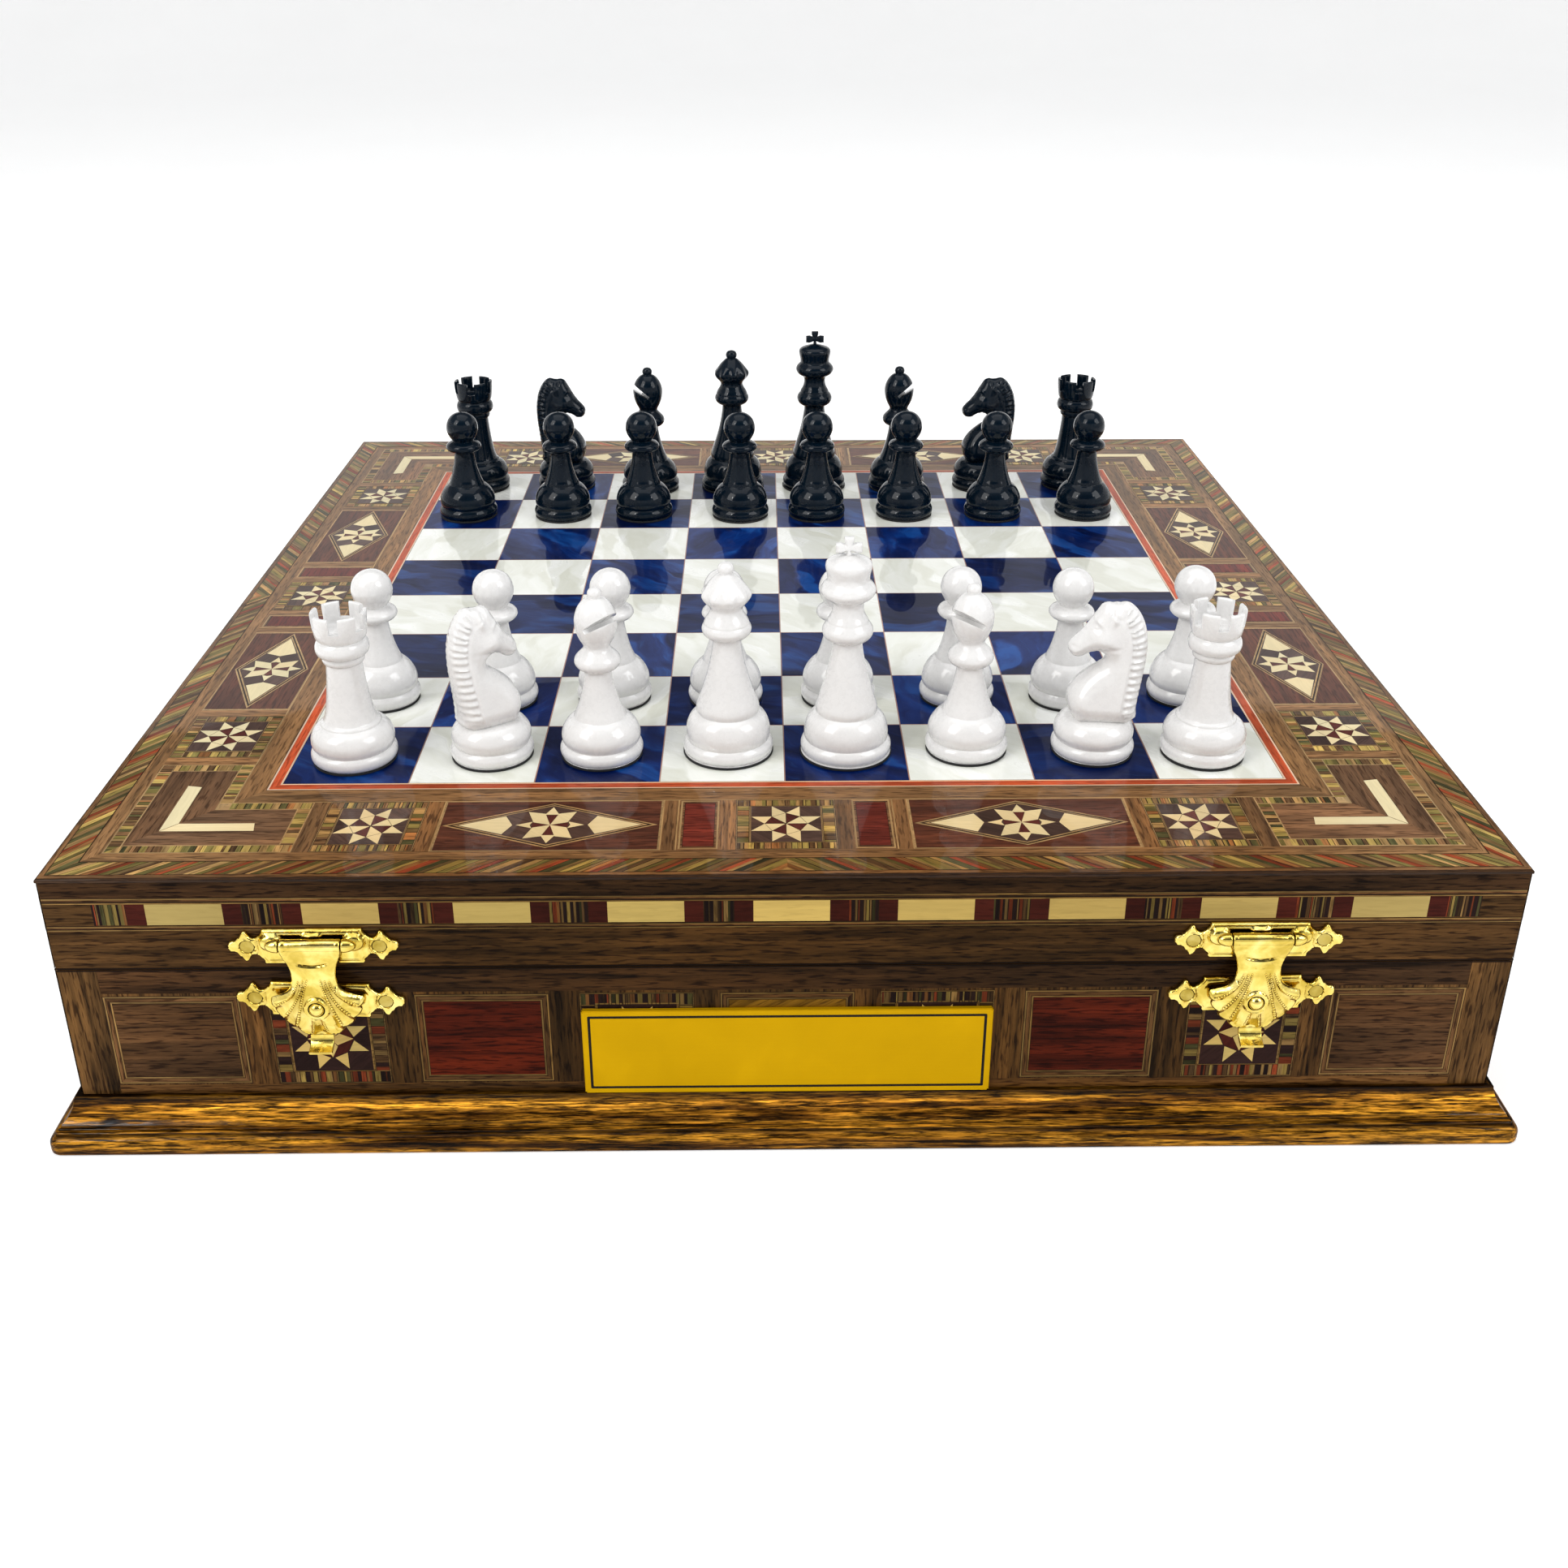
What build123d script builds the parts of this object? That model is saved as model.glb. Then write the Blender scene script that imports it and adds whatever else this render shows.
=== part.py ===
from build123d import *
import math
import os

os.makedirs("parts", exist_ok=True)

# ---------------------------------------------------------------------------
# Games box with an inlaid chessboard lid, two shell hasps and a set of
# thirty-two chessmen.  Millimetres, +Z up, origin at the centre of the
# underside, front (hasps and name plate) towards -Y.
# ---------------------------------------------------------------------------

# driving dimensions -------------------------------------------------------
SQUARE = 26.5            # one board square
CASE_HALF = 143.5        # outside of the veneered case, from the centre
VENEER = 0.6             # side veneer thickness
CORE_HALF = CASE_HALF - VENEER
WALL = 8.0               # wall thickness without veneer
IN_HALF = CORE_HALF - WALL
CORNER_R = 1.5           # eased vertical corners
PLINTH_HALF = 149.75     # outside of the plinth moulding
PLINTH_H = 10.8
SPLIT_LOW = 40.9         # top edge of the case
SPLIT_HIGH = 41.1        # lower edge of the lid
TOP = 61.7               # playing surface
TOP_VENEER = 0.8
PANEL_T = 3.2            # lid panel under the veneers
BOTTOM_T = 4.0
FELT = 1.0
DIVIDER_HALF = 3.0
DIVIDER_TOP = 36.0
BOARD_HALF = 4 * SQUARE
BORDER_OUT = 114.0       # outer edge of the strings and red line round the board

# back hinges
HINGE_X = 85.0
HINGE_Y = 145.8
HINGE_Z = 41.0
BARREL_R = 2.0
HINGE_PIN_R = 0.9
HINGE_CLEAR = 0.05
HINGE_W = 30.0
HINGE_PLATE_T = 1.0
HINGE_PLATE_H = 18.0

# front hasps
HASP_X = 92.0
HASP_PIN_Y = -146.0
HASP_PIN_Z = 48.0
HASP_KNUCKLE_R = 1.35
HASP_PIN_R = 0.6
HASP_CLEAR = 0.05
HASP_PLATE_Z = 46.7
CATCH_Z = 34.2
CLASP_PLATE_T = 1.0
LEAF_T = 0.8
STUD_BALL_R = 1.6
STUD_NECK_R = 1.0
LEAF_HOLE_R = 2.1
SCREW_HEAD_R = 1.35
SCREW_SHANK_R = 0.6

# name plate
PLATE_HALF_W = 41.0
PLATE_TOP = 31.0
PLATE_T = 1.0


# helpers -------------------------------------------------------------------
def block(x0, x1, y0, y1, z0, z1):
    return Pos((x0 + x1) / 2, (y0 + y1) / 2, (z0 + z1) / 2) * Box(x1 - x0, y1 - y0, z1 - z0)


def solids(*shapes):
    out = []
    for s in shapes:
        if isinstance(s, (list, tuple)):
            out += solids(*s)
        else:
            out += list(s.solids())
    return out


def save(name, *shapes):
    parts = solids(*shapes)
    shape = parts[0] if len(parts) == 1 else Compound(parts)
    export_step(shape, os.path.join("parts", name + ".step"))


def cyl(p, axis, r, length):
    """Cylinder that starts at p and runs along axis for length."""
    return extrude(Plane(origin=p, z_dir=axis) * Circle(r), length)


def length_of(profile, half):
    """Front-side length with the profile (distance from centre, z), mitred."""
    pts = [(-half, -u, z) for u, z in profile]
    face = make_face(Polyline(*pts, close=True))
    bar = extrude(face, amount=2 * half, dir=(1, 0, 0))
    wedge = extrude(make_face(Polyline((0, 0, -5), (-200, -200, -5), (200, -200, -5), close=True)),
                    amount=90, dir=(0, 0, 1))
    return bar & wedge


def four(piece):
    return [Rot(0, 0, 90 * k) * piece for k in range(4)]


def eased(z0, z1, half=CASE_HALF, r=CORNER_R):
    return Pos(0, 0, z0) * extrude(RectangleRounded(2 * half, 2 * half, r), z1 - z0)


def turned(profile):
    """Solid of revolution about Z from (radius, z) points."""
    pts = [(r, 0, z) for r, z in profile]
    return revolve(make_face(Polyline(*pts, close=True)), Axis.Z)


def mirrored(pts):
    """Close a half outline (x >= 0) with its mirror image."""
    left = [(-x, z) for x, z in reversed(pts) if x > 1e-6]
    return pts + left


def plate_face(pts, y, dx=0.0, dz=0.0, turn=0.0):
    c, s = math.cos(math.radians(turn)), math.sin(math.radians(turn))
    p3 = [(dx + x * c - z * s, y, dz + x * s + z * c) for x, z in pts]
    return make_face(Polyline(*p3, close=True))


# fasteners -----------------------------------------------------------------
def front_screw(x, z):
    """Small round-headed pin, head let into the clasp plate, driven towards +Y."""
    return cyl((x, -CASE_HALF, z), (0, -1, 0), SCREW_HEAD_R, 0.8) + \
        cyl((x, -CASE_HALF, z), (0, 1, 0), SCREW_SHANK_R, 5.5)


def back_screw(x, z):
    return cyl((x, CASE_HALF, z), (0, 1, 0), SCREW_HEAD_R, 0.8) + \
        cyl((x, CASE_HALF, z), (0, -1, 0), SCREW_SHANK_R, 5.5)


CATCH_TURN = {-1: -2.5, 1: 1.5}      # each catch plate sits slightly off level
HOLE_U = 12.8                        # screw holes from the plate's centre


def catch_screw_xz(side, end):
    a = math.radians(CATCH_TURN[side])
    return side * HASP_X + end * HOLE_U * math.cos(a), CATCH_Z + end * HOLE_U * math.sin(a)


case_screws = [front_screw(*catch_screw_xz(s, e)) for s in (-1, 1) for e in (-1, 1)]
case_screws += [back_screw(s * HINGE_X + e * 10.0, z) for s in (-1, 1) for e in (-1, 1)
                for z in (27.0,)]
case_screws += [back_screw(s * HINGE_X, 33.5) for s in (-1, 1)]
lid_screws = [front_screw(s * HASP_X + e * HOLE_U, HASP_PLATE_Z) for s in (-1, 1) for e in (-1, 1)]
lid_screws += [back_screw(s * HINGE_X + e * 10.0, 55.0) for s in (-1, 1) for e in (-1, 1)]
lid_screws += [back_screw(s * HINGE_X, 48.5) for s in (-1, 1)]


def drilled(shape, screws):
    for s in screws:
        shape = shape - s
    return shape


# ---------------------------------------------------------------------------
# Case
# ---------------------------------------------------------------------------
bottom_panel = block(-IN_HALF, IN_HALF, -IN_HALF, IN_HALF, 0, BOTTOM_T)
save("bottom_panel", bottom_panel)

# moulding: bead nose at the foot, a small double fillet, then a cove up to
# the case face
plinth_profile = [
    (CORE_HALF, 0.0), (149.35, 0.0), (PLINTH_HALF, 0.45), (PLINTH_HALF, 2.5),
    (149.55, 3.2), (149.05, 3.8), (148.3, 4.15), (148.3, 4.6), (147.75, 4.6),
    (147.75, 5.15), (147.2, 5.15), (147.2, 5.7), (146.55, 6.2), (145.85, 7.0),
    (145.2, 8.1), (144.75, 9.3), (144.55, 10.2), (144.5, PLINTH_H), (CORE_HALF, PLINTH_H),
]
plinth_moulding = four(length_of(plinth_profile, 155))
save("plinth_moulding", plinth_moulding)

case_front = block(-CORE_HALF, CORE_HALF, -CORE_HALF, -IN_HALF, 0, SPLIT_LOW)
case_back = block(-CORE_HALF, CORE_HALF, IN_HALF, CORE_HALF, 0, SPLIT_LOW)
case_sides = [block(s * (IN_HALF + CORE_HALF) / 2 - WALL / 2, s * (IN_HALF + CORE_HALF) / 2 + WALL / 2,
                    -IN_HALF, IN_HALF, 0, SPLIT_LOW) for s in (-1, 1)]
save("case_front", drilled(case_front, [s for s in case_screws if s.center().Y < 0]))
save("case_back", drilled(case_back, [s for s in case_screws if s.center().Y > 0]))
save("case_sides", case_sides)

skin = [(CORE_HALF, PLINTH_H), (CASE_HALF, PLINTH_H), (CASE_HALF, SPLIT_LOW), (CORE_HALF, SPLIT_LOW)]
case_skins = [s & eased(PLINTH_H - 1, SPLIT_LOW + 1) for s in four(length_of(skin, 150))]
case_skins = [drilled(s, case_screws) for s in case_skins]
save("case_marquetry", case_skins)

divider = block(-DIVIDER_HALF, DIVIDER_HALF, -IN_HALF, IN_HALF, BOTTOM_T, DIVIDER_TOP)
save("compartment_divider", divider)
case_felt = [block(DIVIDER_HALF, IN_HALF, -IN_HALF, IN_HALF, BOTTOM_T, BOTTOM_T + FELT),
             block(-IN_HALF, -DIVIDER_HALF, -IN_HALF, IN_HALF, BOTTOM_T, BOTTOM_T + FELT)]
save("case_felt_lining", case_felt)

# name plate: a bare rectangle standing on the plinth
name_plate = block(-PLATE_HALF_W, PLATE_HALF_W, -CASE_HALF - PLATE_T, -CASE_HALF, PLINTH_H, PLATE_TOP)
name_plate = fillet(name_plate.edges().filter_by(Axis.Y), 0.6)
save("name_plate", name_plate)

# ---------------------------------------------------------------------------
# Clasps: a fleur-ended plate on the lid with a knuckle, a shell leaf that
# swings on it, and a fleur-ended catch plate with a ball stud on the case
# ---------------------------------------------------------------------------
fleur = [(16.6, 0.0), (16.6, 0.5), (16.1, 1.1), (15.4, 1.15), (15.0, 1.25), (14.4, 2.0),
         (13.7, 3.0), (13.1, 3.5), (12.7, 3.1), (12.2, 2.2), (11.6, 1.75), (10.9, 1.9),
         (9.9, 3.0), (9.6, 3.9)]
fleur_outline = [(x, z) for x, z in fleur] + [(-x, z) for x, z in reversed(fleur)]
fleur_outline += [(-x, -z) for x, z in fleur[1:]] + [(x, -z) for x, z in reversed(fleur[1:])]


def fleur_plate(dx, dz, turn=0.0):
    f = plate_face(fleur_outline, -CASE_HALF - CLASP_PLATE_T, dx, dz, turn)
    return extrude(f, amount=CLASP_PLATE_T, dir=(0, 1, 0))


hasp_plates, hasp_pins, catch_plates, catch_studs = [], [], [], []
for s in (-1, 1):
    cx = s * HASP_X
    pl = fleur_plate(cx, HASP_PLATE_Z)
    # ears either side of the leaf's knuckle, each blended down to the plate
    for e in (-1, 1):
        x0 = cx + e * 6.0 if e > 0 else cx - 8.6
        ear = cyl((x0, HASP_PIN_Y, HASP_PIN_Z), (1, 0, 0), HASP_KNUCKLE_R, 2.6)
        foot = block(x0, x0 + 2.6, HASP_PIN_Y, -CASE_HALF - 0.5, HASP_PIN_Z - 1.3, HASP_PIN_Z + 1.3)
        pl = pl + ear + foot
    pl = pl - cyl((cx - 9, HASP_PIN_Y, HASP_PIN_Z), (1, 0, 0), HASP_PIN_R, 18)
    pl = drilled(pl, lid_screws)
    hasp_plates.append(pl)
    hasp_pins.append(cyl((cx - 8.6, HASP_PIN_Y, HASP_PIN_Z), (1, 0, 0), HASP_PIN_R, 17.2))

    cp = fleur_plate(cx, CATCH_Z, CATCH_TURN[s])
    cp = cp - cyl((cx, -CASE_HALF - CLASP_PLATE_T - 1, CATCH_Z), (0, 1, 0), 0.7, 5)
    cp = drilled(cp, case_screws)
    catch_plates.append(cp)
    neck_end = -147.2
    stud = cyl((cx, neck_end, CATCH_Z), (0, 1, 0), STUD_NECK_R, -CASE_HALF - CLASP_PLATE_T - neck_end)
    stud = stud + Pos(cx, neck_end, CATCH_Z) * Sphere(STUD_BALL_R)
    stud = stud + cyl((cx, -CASE_HALF - CLASP_PLATE_T, CATCH_Z), (0, 1, 0), 0.7, CLASP_PLATE_T)
    catch_studs.append(stud)

save("hasp_plates", hasp_plates)
save("hasp_pins", hasp_pins)
save("catch_plates", catch_plates)
save("catch_studs", catch_studs)

# shell leaf outline, x from its centre and z from the pin
leaf_half = [(5.9, 0.0), (5.9, -1.2), (5.3, -2.6), (4.5, -4.2), (4.2, -6.0), (4.3, -7.8),
             (4.9, -9.3), (6.2, -10.6), (8.9, -12.0), (8.9, -12.7), (8.2, -14.3), (7.1, -15.9),
             (5.7, -17.5), (4.1, -19.0), (2.5, -20.0), (2.3, -20.6)]
leaf_outline = leaf_half + [(-x, z) for x, z in reversed(leaf_half)]


def shell_leaf(cx):
    f = plate_face(leaf_outline, HASP_PIN_Y - LEAF_T / 2, cx, HASP_PIN_Z)
    leaf = extrude(f, amount=LEAF_T, dir=(0, 1, 0))
    leaf = leaf + cyl((cx - 5.9, HASP_PIN_Y, HASP_PIN_Z), (1, 0, 0), HASP_KNUCKLE_R, 11.8)
    # raised ribs that fan out over the shell
    for tx, tz in ((-7.6, -12.9), (-6.6, -15.1), (-4.6, -17.3), (4.6, -17.3), (6.6, -15.1), (7.6, -12.9)):
        bx, bz = tx * 0.36, -8.2
        d = Vector(tx - bx, 0, tz - bz)
        rib = cyl((cx + bx, HASP_PIN_Y - LEAF_T / 2, HASP_PIN_Z + bz), tuple(d.normalized()), 0.45, d.length)
        leaf = leaf + rib
    # finger tab turned outwards at the foot of the shell
    y0 = HASP_PIN_Y - LEAF_T / 2
    tab = [(y0 + LEAF_T, -20.0), (y0 + LEAF_T, -21.3), (y0 - 2.6, -23.6), (y0 - 2.6, -22.7), (y0, -20.6), (y0, -20.0)]
    tf = make_face(Polyline(*[(cx - 2.3, y, HASP_PIN_Z + z) for y, z in tab], close=True))
    leaf = leaf + extrude(tf, amount=4.6, dir=(1, 0, 0))
    leaf = leaf - cyl((cx - 10, HASP_PIN_Y, HASP_PIN_Z), (1, 0, 0), HASP_PIN_R + HASP_CLEAR, 20)
    leaf = leaf - cyl((cx, -152, CATCH_Z), (0, 1, 0), LEAF_HOLE_R, 8)
    return leaf


save("hasp_left", shell_leaf(-HASP_X))
save("hasp_right", shell_leaf(HASP_X))

# ---------------------------------------------------------------------------
# Back hinges: surface leaves, three knuckles each, loose in the lid's knuckle
# ---------------------------------------------------------------------------
case_leaves, lid_leaves, hinge_pins = [], [], []
half = HINGE_W / 2
for s in (-1, 1):
    cx = s * HINGE_X
    low = block(cx - half, cx + half, CASE_HALF, CASE_HALF + HINGE_PLATE_T, HINGE_Z - HINGE_PLATE_H, HINGE_Z - 2.3)
    for x0 in (cx - half, cx + 5.0):
        low = low + block(x0, x0 + 10, CASE_HALF, CASE_HALF + HINGE_PLATE_T, HINGE_Z - 3, HINGE_Z)
        low = low + cyl((x0, HINGE_Y, HINGE_Z), (1, 0, 0), BARREL_R, 10)
    low = low - cyl((cx - 20, HINGE_Y, HINGE_Z), (1, 0, 0), HINGE_PIN_R, 40)
    case_leaves.append(drilled(low, case_screws))

    up = block(cx - half, cx + half, CASE_HALF, CASE_HALF + HINGE_PLATE_T, HINGE_Z + 2.3, HINGE_Z + HINGE_PLATE_H)
    up = up + block(cx - 4.9, cx + 4.9, CASE_HALF, CASE_HALF + HINGE_PLATE_T, HINGE_Z + 0.05, HINGE_Z + 3)
    up = up + cyl((cx - 4.9, HINGE_Y, HINGE_Z), (1, 0, 0), BARREL_R, 9.8)
    up = up - cyl((cx - 20, HINGE_Y, HINGE_Z), (1, 0, 0), HINGE_PIN_R + HINGE_CLEAR, 40)
    lid_leaves.append(drilled(up, lid_screws))

    hinge_pins.append(cyl((cx - half, HINGE_Y, HINGE_Z), (1, 0, 0), HINGE_PIN_R, HINGE_W))
save("case_hinge_leaves", case_leaves)
save("lid_hinge_leaves", lid_leaves)
save("hinge_pins", hinge_pins)
save("case_screws", case_screws)
save("lid_screws", lid_screws)

# ---------------------------------------------------------------------------
# Lid
# ---------------------------------------------------------------------------
Z_PANEL = TOP - TOP_VENEER - PANEL_T
Z_VENEER = TOP - TOP_VENEER
rail = [(IN_HALF, SPLIT_HIGH), (CORE_HALF, SPLIT_HIGH), (CORE_HALF, Z_PANEL), (IN_HALF, Z_PANEL)]
lid_frame = [drilled(r, lid_screws) for r in four(length_of(rail, 150))]
save("lid_frame", lid_frame)
save("lid_panel", block(-CORE_HALF, CORE_HALF, -CORE_HALF, CORE_HALF, Z_PANEL, Z_VENEER))
save("lid_felt_lining", block(-IN_HALF, IN_HALF, -IN_HALF, IN_HALF, Z_PANEL - FELT, Z_PANEL))

band = [(CORE_HALF, SPLIT_HIGH), (CASE_HALF, SPLIT_HIGH), (CASE_HALF, Z_VENEER), (CORE_HALF, Z_VENEER)]
lid_band = [s & eased(SPLIT_HIGH - 1, Z_VENEER + 1) for s in four(length_of(band, 150))]
save("lid_marquetry_band", [drilled(s, lid_screws) for s in lid_band])

top_edge = [(BORDER_OUT, Z_VENEER), (CASE_HALF, Z_VENEER), (CASE_HALF, TOP - 0.6), (CASE_HALF - 0.18, TOP - 0.18),
            (CASE_HALF - 0.6, TOP), (BORDER_OUT, TOP)]
save("top_marquetry", [s & eased(Z_VENEER - 1, TOP + 1) for s in four(length_of(top_edge, 150))])
border = [(BOARD_HALF, Z_VENEER), (BORDER_OUT, Z_VENEER), (BORDER_OUT, TOP), (BOARD_HALF, TOP)]
save("board_border", four(length_of(border, 150)))

blue, white = [], []
for i in range(8):
    for j in range(8):
        x, y = -BOARD_HALF + i * SQUARE, -BOARD_HALF + j * SQUARE
        sq = block(x, x + SQUARE, y, y + SQUARE, Z_VENEER, TOP)
        (blue if (i + j) % 2 == 0 else white).append(sq)
save("board_squares_blue", blue)
save("board_squares_white", white)

# ---------------------------------------------------------------------------
# Chessmen, each turned in one piece; (radius, height) from the underside
# ---------------------------------------------------------------------------
ROOK = [(0, 0), (8.5, 0), (9.2, 1.0), (9.2, 2.4), (8.6, 3.3), (8.35, 3.6), (8.9, 4.5), (8.95, 5.6), (8.4, 7.3),
        (7.0, 8.7), (6.3, 9.0), (6.2, 9.6), (5.7, 10.4), (5.2, 12.5), (4.6, 16.5), (4.2, 20.5), (4.05, 23.4),
        (4.8, 23.8), (4.9, 24.5), (4.6, 25.0), (5.5, 25.4), (5.9, 26.4), (5.6, 27.6), (4.9, 28.3), (5.2, 29.0),
        (5.9, 30.2), (6.2, 32.0), (6.35, 37.7), (4.7, 37.7), (4.5, 32.8), (0, 32.4)]
PAWN = [(0, 0), (8.0, 0), (8.7, 1.0), (8.7, 2.4), (8.1, 3.3), (7.9, 3.6), (8.2, 4.4), (8.2, 6.0), (7.5, 8.0),
        (6.2, 9.6), (5.2, 10.2), (4.9, 10.9), (4.0, 13.6), (3.3, 16.6), (2.9, 19.6), (3.1, 20.2), (4.5, 20.8),
        (5.0, 21.8), (4.6, 22.8), (3.3, 23.5), (3.2, 24.1), (4.1, 25.2), (4.65, 26.7), (4.7, 27.7), (4.4, 29.4),
        (3.5, 30.8), (2.0, 31.8), (0, 32.2)]
BISHOP = [(0, 0), (8.5, 0), (9.1, 1.0), (9.1, 2.4), (8.5, 3.3), (8.2, 3.6), (8.6, 4.5), (8.6, 6.0), (7.8, 7.8),
          (6.2, 9.1), (5.6, 9.4), (5.2, 10.2), (4.3, 12.8), (3.5, 16.0), (3.1, 19.4), (3.1, 20.6), (4.3, 21.2),
          (5.1, 22.4), (4.9, 23.6), (3.4, 24.8), (2.7, 25.6), (3.0, 26.4), (4.1, 28.6), (4.7, 31.2), (4.6, 33.2),
          (3.7, 35.6), (2.2, 37.4), (1.5, 38.0), (1.9, 38.8), (1.8, 39.9), (1.2, 40.7), (0, 41.0)]
QUEEN = [(0, 0), (9.4, 0), (10.1, 1.0), (10.1, 2.4), (9.4, 3.4), (9.1, 3.8), (9.45, 4.8), (9.45, 6.4), (8.6, 8.6),
         (7.2, 10.0), (6.7, 10.3), (7.0, 11.2), (7.0, 12.2), (6.2, 14.7), (4.8, 18.7), (3.7, 22.7), (3.2, 26.0),
         (3.1, 27.9), (4.6, 28.5), (5.5, 29.8), (5.4, 31.0), (4.6, 32.2), (4.6, 33.0), (3.9, 34.2), (4.1, 35.2),
         (5.0, 37.2), (5.5, 38.6), (5.3, 39.4), (4.0, 41.0), (2.2, 42.6), (1.4, 43.0), (1.7, 43.8), (1.6, 44.6),
         (0.9, 45.2), (0, 45.3)]
KING = [(0, 0), (9.6, 0), (10.3, 1.0), (10.3, 2.5), (9.6, 3.5), (9.3, 3.9), (9.65, 4.9), (9.65, 6.6), (8.8, 8.6),
        (7.2, 9.8), (6.8, 10.1), (7.1, 11.1), (7.1, 12.2), (6.3, 14.8), (4.9, 18.7), (3.8, 22.6), (3.35, 25.6),
        (3.3, 26.9), (4.7, 27.6), (5.6, 29.0), (5.5, 30.2), (4.5, 31.6), (3.6, 33.0), (3.5, 35.0), (4.2, 36.2),
        (5.4, 37.0), (5.95, 38.2), (5.5, 39.4), (4.3, 40.0), (4.5, 41.2), (5.1, 43.4), (4.8, 44.4), (3.2, 45.2),
        (0, 45.6)]
KNIGHT_FOOT = [(0, 0), (8.5, 0), (9.1, 1.0), (9.1, 2.4), (8.5, 3.3), (8.2, 3.6), (8.7, 4.5), (8.7, 6.0),
               (8.0, 7.7), (6.6, 8.7), (0, 9.2)]
# side view of the horse's neck and head, looking left
HORSE = [(8.3, 8.0), (7.9, 10.0), (7.6, 13.0), (7.8, 17.0), (8.6, 21.2), (9.0, 25.0), (8.2, 28.4), (6.3, 31.6),
         (3.6, 34.6), (2.0, 35.6), (0.6, 35.0), (-0.8, 35.4), (-2.6, 34.4), (-4.2, 31.8), (-6.4, 28.3),
         (-8.3, 25.6), (-8.8, 23.8), (-8.2, 22.0), (-6.9, 21.3), (-5.3, 21.2), (-4.2, 22.6), (-1.9, 23.0),
         (-0.6, 22.2), (-0.6, 20.8), (-2.4, 19.4), (-5.5, 17.0), (-7.3, 14.3), (-7.5, 11.4), (-6.4, 9.4),
         (-5.4, 8.0)]
HORSE_FRONT = [(-5.6, 8.0), (-5.4, 12.0), (-4.4, 18.0), (-3.2, 24.0), (-3.0, 31.0), (-2.0, 36.0),
               (2.0, 36.0), (3.0, 31.0), (3.2, 24.0), (4.4, 18.0), (5.4, 12.0), (5.6, 8.0)]


def rook():
    body = turned(ROOK)
    for a in (0, 90):
        body = body - Rot(0, 0, a) * block(-0.95, 0.95, -8, 8, 33.9, 40)
    return body


def bishop():
    slot = Pos(-3.6, 0, 34.2) * Rot(0, 35, 0) * Box(5.0, 12, 1.1)
    return turned(BISHOP) - slot


def king():
    cross = block(-0.9, 0.9, -0.8, 0.8, 45.0, 49.8) + block(-2.6, 2.6, -0.8, 0.8, 46.9, 48.5)
    return turned(KING) + cross


def knight(facing):
    side = make_face(Polyline(*[(facing * -x, -6, z) for x, z in HORSE], close=True))
    side = extrude(side, amount=12, dir=(0, 1, 0))
    front = make_face(Polyline(*[(-12, y, z) for y, z in HORSE_FRONT], close=True))
    front = extrude(front, amount=24, dir=(1, 0, 0))
    head = side & front
    return turned(KNIGHT_FOOT) + head


queen = turned(QUEEN)
pawn = turned(PAWN)
MAKERS = {"rook": rook(), "bishop": bishop(), "king": king(), "queen": queen, "pawn": pawn,
          "knight_r": knight(1), "knight_l": knight(-1)}

# where each man stands: (node, model, file position, rank position), squares
MEN = [
    ("white_rook_a", "rook", 0.48, 0.45), ("white_knight_b", "knight_r", 1.60, 0.50),
    ("white_bishop_c", "bishop", 2.50, 0.50), ("white_queen", "queen", 3.54, 0.55),
    ("white_king", "king", 4.51, 0.53), ("white_bishop_f", "bishop", 5.51, 0.55),
    ("white_knight_g", "knight_l", 6.55, 0.52), ("white_rook_h", "rook", 7.45, 0.45),
    ("white_pawn_a", "pawn", 0.48, 1.57), ("white_pawn_b", "pawn", 1.52, 1.55),
    ("white_pawn_c", "pawn", 2.52, 1.57), ("white_pawn_d", "pawn", 3.50, 1.55),
    ("white_pawn_e", "pawn", 4.49, 1.56), ("white_pawn_f", "pawn", 5.54, 1.57),
    ("white_pawn_g", "pawn", 6.50, 1.53), ("white_pawn_h", "pawn", 7.56, 1.57),
    ("black_rook_a", "rook", 0.43, 7.52), ("black_knight_b", "knight_r", 1.47, 7.54),
    ("black_bishop_c", "bishop", 2.49, 7.45), ("black_queen", "queen", 3.48, 7.50),
    ("black_king", "king", 4.46, 7.52), ("black_bishop_f", "bishop", 5.46, 7.47),
    ("black_knight_g", "knight_l", 6.48, 7.50), ("black_rook_h", "rook", 7.57, 7.53),
    ("black_pawn_a", "pawn", 0.45, 6.48), ("black_pawn_b", "pawn", 1.54, 6.47),
    ("black_pawn_c", "pawn", 2.47, 6.47), ("black_pawn_d", "pawn", 3.58, 6.44),
    ("black_pawn_e", "pawn", 4.46, 6.45), ("black_pawn_f", "pawn", 5.47, 6.46),
    ("black_pawn_g", "pawn", 6.49, 6.43), ("black_pawn_h", "pawn", 7.54, 6.46),
]
for node, model, f, r in MEN:
    x, y = (f - 4) * SQUARE, (r - 4) * SQUARE
    save(node, Pos(x, y, TOP) * MAKERS[model])
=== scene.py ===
import bpy
import bmesh
import math
import random
import numpy as np
from mathutils import Matrix, Vector
from mathutils.geometry import delaunay_2d_cdt


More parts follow.
